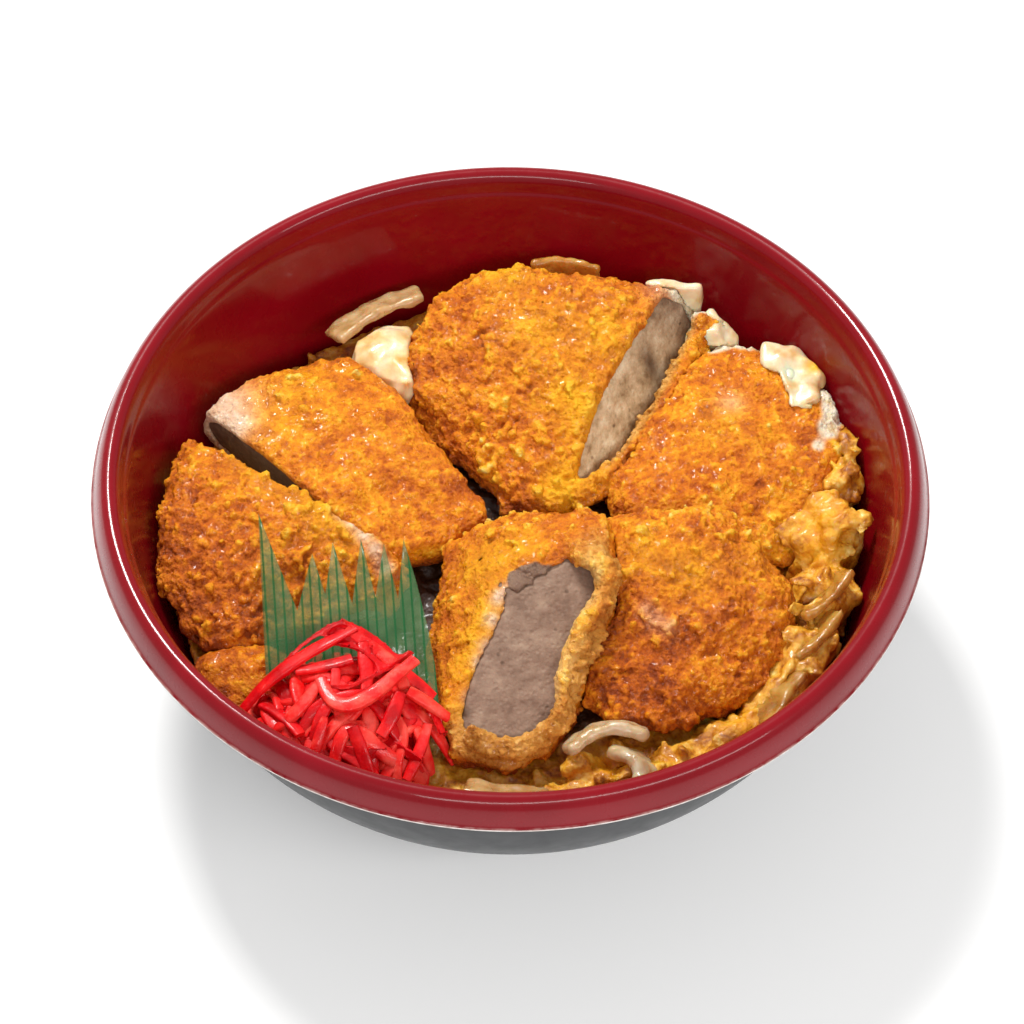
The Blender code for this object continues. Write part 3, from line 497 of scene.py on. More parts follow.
def pork_material():
    """Cut cooked pork: grey beige, or a warmer beige that is partly painted light where it is brighter,
    mottled, with fine dark pores, and painted shade in its hollows and over a shaded cut face.
    """
    material, shader, place = new_material("cut_pork", Subsurface_Weight=0.10, Subsurface_Scale=0.003,
                                           Roughness=0.6, Specular_IOR_Level=0.35)
    patch = remap(noise(place, 0.0045, 5.0, 0.66), 0.32, 0.68)
    # The marked meat is a warmer, brighter beige: partly its own tone, partly painted light
    colour = mix(marked(place, "warm"), ramp(patch, GREY_MEAT), ramp(patch, BEIGE_MEAT))
    pore = remap(cells(place, 0.0026)[0], 0.10, 0.22, 0.7, 0.0)
    some = use(PATCHES, place, size=0.006, low=0.48, high=0.60)["Amount"]
    # Dark pores, and painted shade where the meat is marked as shaded
    dark = maths("MAXIMUM", maths("MULTIPLY", pore, some), marked(place, "hollow"))
    feed(shader, {"Base Color": mix(dark, colour, MEAT_HOLLOW)})
    roughen(shader, place, 0.0009, 0.8, 0.0004, 0.6)
    return material


def egg_material():
    """Simmered egg: brownish orange folds, yolk yellow in places, and nearly black painted shade in the gaps
    between the pieces.
    """
    material, shader, place = new_material("simmered_egg", Subsurface_Weight=0.20, Subsurface_Scale=0.003,
                                           Subsurface_Radius=(1.0, 0.45, 0.12), Specular_IOR_Level=0.45,
                                           Coat_Weight=0.30, Coat_Roughness=0.12)
    patch = remap(noise(place, 0.0045, 3.0, 0.55, 0.4), 0.34, 0.66)
    small = remap(noise(place, 0.0012, 3.0, 0.6), 0.34, 0.66)
    depth = weighed((patch, 0.65), (small, 0.30))
    colour = mix(marked(place, "yellow"), ramp(depth, EGG), ramp(depth, YOLK))
    food = use(SAUCE, place, plain=colour, stain=0.25, size=0.004, low=0.0265, high=0.0290)
    # The marked egg turns nearly black: painted shade in the gaps between the pieces.
    feed(shader, {"Base Color": mix(marked(place, "soy"), food["Color"], SOY),
                  "Roughness": remap(food["Wet"], 0.0, 1.0, 0.50, 0.28)})
    roughen(shader, place, 0.0010, 0.6, 0.0005, 0.7)
    return material


def white_material():
    """Set egg white, wet and smooth, with a little yolk in places."""
    material, shader, place = new_material("egg_white", Subsurface_Weight=0.45, Subsurface_Scale=0.004,
                                           Coat_Weight=0.5, Coat_Roughness=0.10, Roughness=0.34)
    colour = mix(marked(place, "yellow"), ramp(noise(place, 0.005, 2.0, 0.5), EGG_WHITE), YOLK_ON_WHITE)
    food = use(SAUCE, place, plain=colour, stain=0.20, size=0.003, low=0.030, high=0.038)
    feed(shader, {"Base Color": food["Color"]})
    roughen(shader, place, 0.0022, 0.3, 0.0004, 0.4)
    return material


def onion_material():
    """Simmered onion: half see-through, browner where it lay in the sauce."""
    material, shader, place = new_material("simmered_onion", Subsurface_Weight=0.4, Subsurface_Scale=0.004,
                                           Transmission_Weight=0.25, Coat_Weight=0.4, Coat_Roughness=0.10,
                                           Alpha=0.80)
    patch = noise(place, 0.004, 3.0, 0.5)
    colour = mix(marked(place, "soaked"), ramp(patch, ONION), ramp(patch, SOAKED_ONION))
    food = use(SAUCE, place, plain=colour, stain=0.25, size=0.005, low=0.026, high=0.030)
    feed(shader, {"Base Color": food["Color"], "Roughness": remap(food["Wet"], 0.0, 1.0, 0.36, 0.22)})
    roughen(shader, place, 0.0014, 0.2, 0.0003, 0.5)
    return material


def rice_material():
    """Cooked rice, stained a little by the sauce."""
    material, shader, place = new_material("cooked_rice", Subsurface_Weight=0.4, Subsurface_Scale=0.003,
                                           Coat_Weight=0.3, Coat_Roughness=0.2, Roughness=0.45)
    colour = ramp(noise(place, 0.004, 2.0), RICE)
    food = use(SAUCE, place, plain=colour, stain=0.35, size=0.006, low=0.024, high=0.031)
    feed(shader, {"Base Color": food["Color"]})
    roughen(shader, place, 0.0018, 0.2, 0.0002, 0.4)
    return material


def ginger_material():
    """Shreds of red pickled ginger: wet, clear red, deeper in some shreds and paler in others."""
    material, shader, place = new_material("red_ginger", Subsurface_Weight=0.25, Subsurface_Scale=0.002,
                                           Subsurface_Radius=(1.0, 0.05, 0.05), Specular_IOR_Level=0.22,
                                           Coat_Weight=0.18, Coat_Roughness=0.10)
    patch = remap(noise(place, 0.0045, 3.0, 0.55), 0.34, 0.66)
    wet = use(PATCHES, place, size=0.004)["Amount"]
    feed(shader, {"Base Color": ramp(weighed((patch, 0.5), (marked(place, "tone"), 0.5)), GINGER),
                  "Roughness": remap(wet, 0.0, 1.0, 0.50, 0.26)})
    roughen(shader, place, 0.0013, 0.2, 0.0004, 0.6)
    return material


def divider_material():
    """Thin translucent green film with darker printed lines."""
    material, shader, place = new_material("green_film", Roughness=0.32, Transmission_Weight=0.15,
                                           Coat_Weight=0.2, Coat_Roughness=0.2)
    from_line = maths("ABSOLUTE", maths("SUBTRACT", maths("FRACT", marked(place, "across")), 0.5))
    stripe = remap(from_line, 0.09, 0.14, 1.0, 0.0)
    plain = mix(use(PATCHES, place, size=0.008)["Amount"], *GREEN)
    feed(shader, {"Base Color": mix(stripe, plain, GREEN_LINE),
                  "Alpha": remap(stripe, 0.0, 1.0, 0.37, 0.72)})
    return material


def film_material(name, veil_size, colours, streak_size, least, most, **constants):
    """Smooth film on the bowl, uneven in colour and in gloss."""
    material, shader, place = new_material(name, **constants)
    colour = mix(use(PATCHES, place, size=veil_size)["Amount"], *colours)
    streak = use(PATCHES, place, size=streak_size, low=0.3, high=0.7)["Amount"]
    feed(shader, {"Base Color": colour, "Roughness": remap(streak, 0.0, 1.0, least, most)})
    return material, shader, place, colour


def bowl_materials():
    """Red film inside and over the rim, black film outside, and the pale foam at the cut edge."""
    red, shader, place, colour = film_material("red_film", 0.03, RED, 0.004, 0.24, 0.32,
                                               Specular_IOR_Level=0.14, Coat_Weight=0.42, Coat_Roughness=0.06)
    flat = add(tree_of(place), "ShaderNodeVectorMath", {0: place, 1: (1.0, 1.0, 0.0)}, operation="MULTIPLY")
    reach = add(tree_of(place), "ShaderNodeVectorMath", {0: flat.outputs[0]}, operation="LENGTH")
    edge = remap(reach.outputs["Value"], WORN_FROM, WORN_TO)
    worn = use(PATCHES, place, size=0.003, low=0.36, high=0.66)["Amount"]
    feed(shader, {"Base Color": mix(maths("MULTIPLY", edge, worn), colour, WORN_RED)})
    roughen(shader, place, 0.0012, 0.0, 0.00008, 0.25)
    black = film_material("black_film", 0.02, BLACK, 0.005, 0.32, 0.42)[0]
    foam, shader, place = new_material("foam_edge", Roughness=0.7)
    feed(shader, {"Base Color": mix(use(PATCHES, place, size=0.002)["Amount"], *FOAM)})
    return red, black, foam


# Bowl: its section runs from the middle of the floor, up the wall, over the rim and down to the foot

BOWL_SIDES = 128
STEP_RADIUS = 0.0815
STEP_Z = 0.057
WALL_SLOPE = 0.2
WALL_TUCK = 0.026
WALL_POWER = 4.8
WALL_RINGS = 22
RINGS_LOW = 1.7
FLOOR_EDGE_Z = 0.0045
WALL = 0.00125
WORN_FROM = 0.0885
WORN_TO = 0.0888
FLOOR_SECTION = [(0.0200, 0.0031), (0.0360, 0.0031), (0.0425, 0.0034)]
RIM_SECTION = [
    (0.0819, 0.0572), (0.0822, 0.0582), (0.0826, 0.0598), (0.0832, 0.0611), (0.0840, 0.0618),
    (0.0850, 0.0620), (0.0859, 0.0617), (0.0867, 0.0610), (0.0874, 0.0598), (0.0880, 0.0580),
    (0.0884, 0.0564), (0.0886, 0.0559), (0.0890, 0.0558),
]
EDGE_SECTION = [(0.0890, 0.0550), (0.0880, 0.0550)]
UNDER_SECTION = [
    (0.0876, 0.0560), (0.0868, 0.0582), (0.0860, 0.0598), (0.0850, 0.0607), (0.0841, 0.0600),
    (0.0836, 0.0580), (0.0830, 0.0560),
]
OUTER_HEIGHTS = [(0.0, 0.052), (0.0, 0.044), (0.0, 0.036), (0.0, 0.029), (0.0, 0.023), (0.0008, 0.0185),
                 (0.0008, 0.0150), (0.0008, 0.0120), (0.0010, 0.0095), (0.0010, 0.0075)]
FOOT_SECTION = [
    (0.0518, 0.0052), (0.0508, 0.0030), (0.0505, 0.0006), (0.0500, 0.0), (0.0462, 0.0),
    (0.0455, 0.0004), (0.0450, 0.0014), (0.0440, 0.0016), (0.0020, 0.0016),
]
FLOOR_TOP = 0.0025
WALL_HEIGHTS, WALL_RADII = wall_reach()


def wall_radius(height):
    """Radius of the bowl's inner wall at a height."""
    depth = max(STEP_Z - height, 0.0)
    tuck = WALL_TUCK * (depth / (STEP_Z - FLOOR_EDGE_Z)) ** WALL_POWER
    return STEP_RADIUS - WALL_SLOPE * depth - tuck


def drawn_up(name, section, sides):
    """A round shape drawn up from a disc, ring by ring, by extruding and scaling."""
    put_down()
    radius, height = section[0]
    bpy.ops.mesh.primitive_circle_add(vertices=sides, radius=radius, fill_type="NGON",
                                      location=(0, 0, height))
    piece = bpy.context.object
    piece.name = name
    bpy.ops.object.transform_apply(location=True)
    bpy.ops.object.mode_set(mode="EDIT")
    bpy.ops.mesh.select_all(action="SELECT")
    for (before, low), (after, high) in zip(section, section[1:]):
        bpy.ops.mesh.extrude_region_move(TRANSFORM_OT_translate={"value": (0, 0, high - low)})
        share = after / before
        bpy.ops.transform.resize(value=(share, share, 1.0), center_override=(0, 0, high))
    bpy.ops.mesh.select_all(action="SELECT")
    bpy.ops.mesh.normals_make_consistent(inside=False)
    bpy.ops.object.mode_set(mode="OBJECT")
    return piece


def make_bowl():
    """The moulded bowl, red inside and over its rim, black outside, pale where the edge is cut."""
    heights = [FLOOR_EDGE_Z + (STEP_Z - FLOOR_EDGE_Z) * (step / WALL_RINGS) ** RINGS_LOW
               for step in range(WALL_RINGS + 1)]
    inside = FLOOR_SECTION + [(wall_radius(height), height) for height in heights]
    outer = [(wall_radius(height + lift) + WALL, height) for lift, height in OUTER_HEIGHTS]
    section = inside + RIM_SECTION + EDGE_SECTION + UNDER_SECTION + outer + FOOT_SECTION
    piece = drawn_up("takeout_bowl", section, BOWL_SIDES)
    last_red = len(inside) + len(RIM_SECTION) - 1
    last_foam = last_red + len(EDGE_SECTION)
    middles = np.array([((a[0] + b[0]) / 2, (a[1] + b[1]) / 2) for a, b in zip(section, section[1:])])
    for material in bowl_materials():
        piece.data.materials.append(material)
    for face in piece.data.polygons:
        reach = math.hypot(face.center.x, face.center.y)
        if len(face.vertices) > 4:
            face.material_index = 0 if face.center.z > FLOOR_TOP else 1
            continue
        step = int(np.argmin(np.hypot(middles[:, 0] - reach, middles[:, 1] - face.center.z)))
        face.material_index = 0 if step < last_red else 2 if step < last_foam else 1
    smooth = piece.modifiers.new("round", "SUBSURF")
    smooth.levels = smooth.render_levels = 1
    set_modifiers(piece)
    settle(piece, "bowl", "bowl")


# Crust

def alike(radius, amount, *middles):
    """Spots of one size and strength."""
    return [(x, y, radius, amount) for x, y in middles]


# Where each piece is browner, has a film of yolk, is pale, white or shaggy, as (x, y, radius, amount); the
# browner spots are partly dark specks of the crust and partly painted shade on sides turned away from the
# light
BROWN = {
    "katsu_left_front": [(-0.072, -0.012, 0.014, 0.7), (-0.060, -0.030, 0.012, 0.8)],
    "katsu_left_back": [(-0.012, 0.004, 0.010, 0.4)],
    "katsu_back": [(-0.016, 0.022, 0.008, 0.6), (-0.022, 0.036, 0.006, 0.5), (0.002, 0.008, 0.006, 0.5)],
    "katsu_right": [(0.034, 0.008, 0.010, 0.3), (0.0539, 0.0098, 0.0010, 2.0),
                    (0.0533, 0.0051, 0.0009, 2.0)],
    "katsu_front": [(-0.008, -0.054, 0.006, 0.3)],
    "katsu_front_right": [(0.022, -0.036, 0.010, 0.9), (0.032, -0.049, 0.010, 0.7),
                          (0.040, -0.024, 0.014, 0.5)],
    "katsu_left_end": [(-0.056, -0.040, 0.020, 0.2)],
}
YELLOW = {
    "katsu_left_front": [(-0.0484, 0.0082, 0.006, 0.7), (-0.0406, 0.0001, 0.006, 0.8),
                         (-0.0560, 0.0119, 0.005, 0.5), (-0.034, -0.005, 0.006, 0.5)],
    "katsu_left_back": [(-0.054, 0.024, 0.008, 0.4), (-0.046, 0.034, 0.007, 0.4)],
    "katsu_back": [(0.0130, 0.0300, 0.006, 0.9), (0.0200, 0.0440, 0.006, 0.7), (0.0108, 0.0112, 0.005, 1.0),
                   (0.0191, 0.0249, 0.0045, 1.0), (0.0173, 0.0153, 0.0045, 1.0), (0.0260, 0.0370, 0.004, 0.8),
                   (-0.0010, 0.0620, 0.005, 1.0), (0.0050, 0.0460, 0.008, 0.5)],
    "katsu_right": [(0.0600, 0.0000, 0.007, 0.4), (0.0669, 0.0396, 0.0025, 0.9),
                    (0.0450, 0.0250, 0.006, 0.3)],
    "katsu_front": [(-0.0066, -0.0335, 0.004, 1.1), (-0.0082, -0.0398, 0.0035, 1.1),
                    (-0.0041, -0.0268, 0.004, 1.1), (-0.0052, -0.0154, 0.005, 0.9),
                    (0.0021, -0.0133, 0.0045, 0.7), (-0.0105, -0.0480, 0.0035, 0.8)],
    "katsu_front_right": [(0.0378, -0.0189, 0.006, 0.7), (0.0274, -0.0150, 0.005, 0.6),
                          (0.0520, -0.0150, 0.006, 0.3)],
}
PALE = {
    "katsu_left_front": alike(0.0017, 0.9, (-0.0358, -0.0017), (-0.0336, -0.0041), (-0.0312, -0.0068),
                              (-0.0288, -0.0099), (-0.0266, -0.0130)),
    "katsu_left_back": [(-0.065, 0.030, 0.007, 1.1), (-0.060, 0.023, 0.004, 0.8)],
    "katsu_back": [(0.036, 0.058, 0.005, 0.6)],
    "katsu_right": [(0.048, 0.030, 0.003, 0.3)],
    "katsu_front": [*alike(0.0016, 0.9, (-0.0026, -0.0260), (-0.0047, -0.0357), (-0.0061, -0.0389)),
                    *alike(0.0016, 0.8, (-0.0010, -0.0241), (-0.0036, -0.0305)),
                    (-0.0081, -0.0459, 0.0015, 0.8)],
    "katsu_front_right": [(0.0306, -0.0298, 0.0020, 0.36),
                          *alike(0.0016, 0.32, (0.0285, -0.0274), (0.0333, -0.0317))],
}
WHITE = {
    "katsu_back": [*alike(0.0030, 0.9, (0.0396, 0.0580), (0.0363, 0.0592)), (0.0418, 0.0554, 0.0030, 0.8)],
    "katsu_right": [(0.0451, 0.0470, 0.0022, 1.0), (0.0484, 0.0484, 0.0024, 1.0),
                    (0.0524, 0.0474, 0.0024, 1.0), (0.0582, 0.0450, 0.0026, 1.0),
                    (0.0636, 0.0430, 0.0028, 1.0), (0.0675, 0.0393, 0.0030, 1.0),
                    (0.0699, 0.0340, 0.0030, 1.1), (0.0706, 0.0287, 0.0028, 1.1),
                    (0.0691, 0.0235, 0.0026, 1.0), (0.0667, 0.0191, 0.0018, 0.7)],
}
SHAGGY = {
    "katsu_left_front": [(-0.050, 0.004, 0.010, 0.8), (-0.040, -0.008, 0.008, 0.8),
                         (-0.0622, -0.0227, 0.006, 0.9), (-0.058, -0.014, 0.005, 0.8)],
    "katsu_left_back": [(-0.046, 0.036, 0.006, 0.5)],
    "katsu_back": [(-0.0022, 0.0159, 0.006, 1.2), (-0.0077, 0.0254, 0.006, 1.2),
                   (0.0022, 0.0092, 0.005, 1.2)],
    "katsu_right": [(0.060, 0.004, 0.010, 0.4), (0.0736, 0.0242, 0.004, 1.2), (0.0745, 0.0100, 0.004, 1.0)],
    "katsu_front": [(0.004, -0.004, 0.008, 1.0), (0.014, -0.004, 0.005, 1.0)],
    "katsu_front_right": [(0.040, -0.002, 0.010, 1.0), (0.0306, -0.0298, 0.0035, 1.2)],
}
# Where the meat shows beyond its own piece, and where the lip beside the meat is plain bread
MEATY = {
    "katsu_front": alike(0.0018, 0.8, (0.0005, -0.0213), (0.0026, -0.0208), (0.0049, -0.0197),
                         (0.0009, -0.0238), (0.0034, -0.0226), (0.0060, -0.0213), (0.0085, -0.0200)),
}
BREADY = {
    "katsu_front": alike(0.005, 1.0, (0.0190, -0.0173), (0.0201, -0.0232), (0.0186, -0.0288),
                         (0.0169, -0.0352), (0.0144, -0.0411), (0.0123, -0.0458), (0.0086, -0.0507),
                         (0.0028, -0.0546), (-0.0039, -0.0558), (-0.0085, -0.0530)),
    "katsu_back": alike(0.006, 1.0, (0.0417, 0.0504), (0.0377, 0.0434), (0.0341, 0.0370), (0.0310, 0.0317),
                        (0.0284, 0.0260), (0.0244, 0.0200)),
}
# Where a crust's lip folds over its meat, as (x, y, radius, and the move in x, y and z)
FOLDED = {
    "katsu_front": [(0.0169, -0.0316, 0.0040, -0.0018, -0.0004, 0.0006),
                    (0.0152, -0.0374, 0.0040, -0.0024, -0.0004, 0.0006),
                    (0.0136, -0.0434, 0.0040, -0.0024, -0.0004, 0.0006),
                    (0.0190, -0.0211, 0.0032, -0.0008, -0.0010, 0.0008)],
}
# How deep each crust's crags are, its crumbs to a square metre, the longest of them, and its meat
CRUSTS = {
    "katsu_front": (1.0, 420000, 0.0027, "pork_front"),
    "katsu_back": (1.15, 400000, 0.0031, "pork_back"),
    "katsu_front_right": (1.0, 420000, 0.0028, None),
    "katsu_right": (0.75, 400000, 0.0022, None),
    "katsu_left_front": (1.15, 400000, 0.0031, "pork_left_front"),
    "katsu_left_back": (0.65, 380000, 0.0018, "pork_left_back"),
    "katsu_left_end": (0.55, 250000, 0.0015, None),
}
SMALLEST_CRUMB = 0.0009
FLAKES_PER_AREA = 150000
FLAKE_LENGTHS = (0.0026, 0.0048)
SUNK = 0.030

# Meat: where it is a warmer beige that is partly painted light, and where painted shade darkens a hollow or a
# whole shaded cut face
WARM_MEAT = {"pork_back": [(0.020, 0.024, 0.016, 1.2), (0.031, 0.044, 0.014, 0.6)],
             "pork_left_front": [(-0.045, 0.003, 0.040, 1.2)]}
# Painted shade: dark hollows in the meat, and the whole cut face of pork_left_back, which lies in shadow in
# its gap
HOLLOWS = {"pork_back": [(0.0308, 0.0433, 0.0022, 0.9)], "pork_front": [(-0.0095, -0.0486, 0.0016, 0.9)],
           "pork_left_back": [(-0.045, 0.0066, 0.060, 0.82)]}


def nearness(points, x, y, radius):
    """How near each point is to a spot, seen from above: 1 in its middle."""
    return np.exp(-((points[:, 0] - x) ** 2 + (points[:, 1] - y) ** 2) / radius ** 2)


def spots_over(points, spots):
    """How strongly each point lies in the named spots."""
    total = np.zeros(len(points))
    for x, y, radius, amount in spots:
        total += amount * nearness(points, x, y, radius)
    return np.clip(total, 0.0, 1.2)


def cut_face(node):
    """A point on the flat face of a cut piece of pork, and the way it faces."""
    sizes = {}
    for face in frame["nodes"][node].data.polygons:
        if face.normal.z > -0.5:
            key = tuple(round(part, 1) for part in face.normal)
            size, middle, way = sizes.get(key, (0.0, Vector(), Vector()))
            sizes[key] = (size + face.area, middle + face.center * face.area, way + face.normal * face.area)
    size, middle, way = max(sizes.values(), key=lambda kept: kept[0])
    return middle / size, way.normalized()


def beyond_cut(points, node):
    """How far each point is in front of the cut face of the pork."""
    middle, way = cut_face(node)
    return (points - np.array(middle)) @ np.array(way)


def chipped(name, seed, flat):
    """One angular flake of bread, a metre long, to be copied at a flake's size."""
    put_down()
    bpy.ops.mesh.primitive_ico_sphere_add(subdivisions=1, radius=0.5, location=(0, 0, 0))
    return shaped(name, 0.24, seed, (1.0, 0.55, flat))


def shaped(name, unevenness, seed, size):
    """The shape just made, its points moved at random, then scaled."""
    shape = bpy.context.object
    shape.name = name
    bpy.ops.object.mode_set(mode="EDIT")
    bpy.ops.mesh.select_all(action="SELECT")
    bpy.ops.transform.vertex_random(offset=unevenness, seed=seed)
    bpy.ops.transform.resize(value=size)
    bpy.ops.object.mode_set(mode="OBJECT")
    return shape


def kinds_of(name, shapes):
    """Small shapes in a collection of their own, out of the scene."""
    kinds = bpy.data.collections.new(name)
    for shape in shapes:
        bpy.context.scene.collection.objects.unlink(shape)
        kinds.objects.link(shape)
    return kinds


def throw_away(kinds):
    """Remove the small shapes once they have been copied."""
    for shape in list(kinds.objects):
        bpy.data.objects.remove(shape)
    bpy.data.collections.remove(kinds)


def scatter(name, carrier, kinds, count_per_area, smallest, largest, seed, lean=0.7):
    """Small things strewn over a piece where it is marked, as one mesh."""
    put_down()
    bpy.ops.mesh.primitive_plane_add(size=0.001)
    piece = bpy.context.object
    piece.name = name
    tree = bpy.data.node_groups.new(name, "GeometryNodeTree")
    for way in ("INPUT", "OUTPUT"):
        tree.interface.new_socket("Geometry", in_out=way, socket_type="NodeSocketGeometry")
    ground = add(tree, "GeometryNodeObjectInfo", {"Object": carrier})
    strewn = add(tree, "GeometryNodeInputNamedAttribute", {"Name": "strewn"}, data_type="FLOAT")
    thrown = add(tree, "GeometryNodeDistributePointsOnFaces",
                 {"Mesh": ground.outputs["Geometry"], "Seed": seed,
                  "Density": maths("MULTIPLY", strewn.outputs[0], count_per_area)})
    things = add(tree, "GeometryNodeCollectionInfo", {"Collection": kinds, "Separate Children": True,
                                                      "Reset Children": True})
    turn = add(tree, "FunctionNodeRandomValue",
               {"Min": (-lean, -lean, -math.pi), "Max": (lean, lean, math.pi), "Seed": seed + 1},
               data_type="FLOAT_VECTOR")
    spin = add(tree, "FunctionNodeEulerToRotation", {"Euler": turn.outputs[0]})
    lie = add(tree, "FunctionNodeRotateRotation", {"Rotation": thrown.outputs["Rotation"],
                                                   "Rotate By": spin.outputs[0]}, rotation_space="LOCAL")
    size = add(tree, "FunctionNodeRandomValue", {2: smallest, 3: largest, "Seed": seed + 2},
               data_type="FLOAT")
    copies = add(tree, "GeometryNodeInstanceOnPoints",
                 {"Points": thrown.outputs["Points"], "Instance": things.outputs[0],
                  "Pick Instance": True, "Rotation": lie.outputs[0], "Scale": size.outputs[1]})
    real = add(tree, "GeometryNodeRealizeInstances", {"Geometry": copies.outputs[0]})
    add(tree, "NodeGroupOutput", {0: real.outputs[0]})
    piece.modifiers.new("strew", "NODES").node_group = tree
    set_modifiers(piece)
    return piece


def fry(node, flakes, material, seed):
    """A piece's crust: soft humps, with flakes of bread fused on, marked high and low."""
    crags, crowd, longest, meat = CRUSTS[node]
    piece = cast_from(node, "fried_" + node.removeprefix("katsu_"))
    even_out(piece, 0.0007, 5)
    plain = places(piece)
    relief(piece, 0.0085, 0.0022 * crags)
    if meat:
        inner = feel(frame["nodes"][meat])
        calm(piece, plain, ease(far_from(inner, plain), 0.0015, 0.0050))
    under = places(piece)
    body = feel(piece)
    open_side = ease(under[:, 2], SUNK - 0.004, SUNK)
    if meat:
        open_side *= ease(far_from(inner, under), 0.0014, 0.0026)
    filmed = np.clip(spots_over(under, YELLOW.get(node, [])), 0.0, 1.0)
    mark(piece, "strewn", open_side * (1.0 - 0.5 * filmed))
    joining = [scatter("crumbs", piece, flakes, crowd, SMALLEST_CRUMB, longest, seed, 1.0)]
    if node in SHAGGY:
        mark(piece, "strewn", open_side * spots_over(under, SHAGGY[node]))
        joining.append(scatter("shaggy", piece, flakes, FLAKES_PER_AREA, *FLAKE_LENGTHS, seed + 5, 1.2))
    joined(piece, *joining)
    even_out(piece, CRUST_VOXEL, 0)
    crumbed = places(piece)
    relief(piece, 0.0022, 0.0014 * crags, 2, 0.46)
    relief(piece, 0.0009, 0.0006 * crags, 2, 0.46)
    if meat:
        calm(piece, crumbed, 0.25 + 0.75 * ease(far_from(inner, crumbed), 0.0010, 0.0030))
    thin_out(piece)
    hold_in_bowl(piece)
    points = places(piece)
    for x, y, radius, *move in FOLDED.get(node, []):
        near = nearness(points, x, y, radius) * ease(beyond_cut(points, meat), -0.0010, 0.0004)
        points += near[:, None] * np.array(move)
    put_places(piece, points)
    tan = np.zeros(len(points))
    if meat:
        tan = ease(beyond_cut(points, meat), -0.0006, 0.0004) * ease(far_from(inner, points), 0.0072, 0.0045)
        tan *= np.clip(spots_over(points, BREADY.get(node, [])), 0.0, 1.0)
    mark(piece, "tan", tan)
    # How far each point stands out of the crust: the material paints low points darker as shade in the
    # hollows, and the tips paler
    mark(piece, "relief", ease(far_from(body, points), -0.0004, 0.0014 * crags))
    # Browner spots, partly painted shade, and darker towards the bottom of each piece
    mark(piece, "brown", spots_over(points, BROWN[node]) + 2.0 * (1.0 - ease(points[:, 2], 0.0310, 0.0370)))
    for name, table in (("yellow", YELLOW), ("pale", PALE)):
        mark(piece, name, np.clip(spots_over(points, table.get(node, [])), 0.0, 1.0))
    mark(piece, "white", ease(spots_over(points, WHITE.get(node, [])), 0.25, 0.70))
    mark(piece, "meat", ease(spots_over(points, MEATY.get(node, [])), 0.55, 0.75))
    return finish_piece(piece, material, "crust", node)


def cut_meat(node, material):
    """The cut meat, swelled at its cut to meet its crust, with a rough grain."""
    piece = cast_from(node, node.replace("pork", "cut_meat"))
    even_out(piece, FOOD_VOXEL, 2)
    relief(piece, 0.0050, 0.0005, 2)
    relief(piece, 0.0016, 0.0004, 2)
    points = places(piece)
    ways = np.empty(points.size, np.float32)
    piece.data.vertices.foreach_get("normal", ways)
    near_cut = ease(beyond_cut(points, node), -0.0035, -0.0015)
    points += ways.reshape(-1, 3) * (near_cut * 0.0011 - 0.0005)[:, None]
    put_places(piece, points)
    # Warmer, brighter beige: partly the meat's own tone, partly painted light
    mark(piece, "warm", spots_over(points, WARM_MEAT.get(node, [])))
    # Painted shade in the meat's hollows and over a shaded cut face
    mark(piece, "hollow", spots_over(points, HOLLOWS.get(node, [])))
    return finish_piece(piece, material, "pork", node)


# Egg: where lumps of it stand on the bed, and its folds as (line, width, tilt), laid on what is below

CURDLED = [
    (0.066, -0.012, 0.014, 0.35), (0.062, -0.030, 0.012, 0.4), (0.048, -0.051, 0.010, 0.7),
    (0.030, -0.060, 0.010, 1.1), (0.012, -0.064, 0.012, 1.1), (-0.004, -0.066, 0.008, 0.8),
    (0.071, 0.016, 0.007, 0.6), (-0.034, 0.056, 0.014, 0.5),
]
CURDS_PER_AREA = 90000
CURD_SIZES = (0.0024, 0.0056)
EGG_FOLDS = [
    ([(0.0585, -0.0020), (0.0640, 0.0015), (0.0700, 0.0035), (0.0750, 0.0065)], 0.0070, 10),
    ([(0.0600, -0.0070), (0.0650, -0.0060), (0.0700, -0.0040), (0.0740, 0.0000)], 0.0040, 35),
    ([(0.0600, -0.0120), (0.0640, -0.0100), (0.0690, -0.0085), (0.0735, -0.0050)], 0.0042, 20),
    ([(0.0595, -0.0170), (0.0640, -0.0165), (0.0690, -0.0140), (0.0730, -0.0100)], 0.0036, -30),
    ([(0.0590, -0.0235), (0.0635, -0.0235), (0.0680, -0.0200)], 0.0042, 40),
    ([(0.0570, -0.0300), (0.0610, -0.0290), (0.0655, -0.0250)], 0.0044, 15),
    ([(0.0500, -0.0460), (0.0540, -0.0410), (0.0580, -0.0350), (0.0600, -0.0290)], 0.0066, -35),
    ([(0.0430, -0.0545), (0.0490, -0.0510), (0.0540, -0.0455)], 0.0040, 20),
    ([(0.0150, -0.0590), (0.0180, -0.0560), (0.0225, -0.0550), (0.0262, -0.0575)], 0.0034, 30),
    ([(0.0262, -0.0575), (0.0250, -0.0620), (0.0205, -0.0640)], 0.0030, 30),
    ([(0.0290, -0.0610), (0.0340, -0.0590), (0.0385, -0.0565)], 0.0036, 0),
    ([(0.0050, -0.0655), (0.0110, -0.0640), (0.0160, -0.0650)], 0.0034, 20),
]
FOLD_THICKNESS = 0.0016
FOLD_LIFT = 0.0010
CORNER_PULL = 1.25
YOLK_SHOWS = [(0.067, 0.001, 0.006, 1.0), (0.068, -0.008, 0.005, 0.8), (0.021, -0.058, 0.006, 0.8),
              (0.049, -0.049, 0.005, 1.0), (0.033, -0.060, 0.005, 0.9), (0.069, 0.015, 0.003, 1.0)]
YOLK_IN_WHITE = [(0.0669, 0.0396, 0.0030, 1.0), (-0.022, 0.047, 0.020, 0.3)]


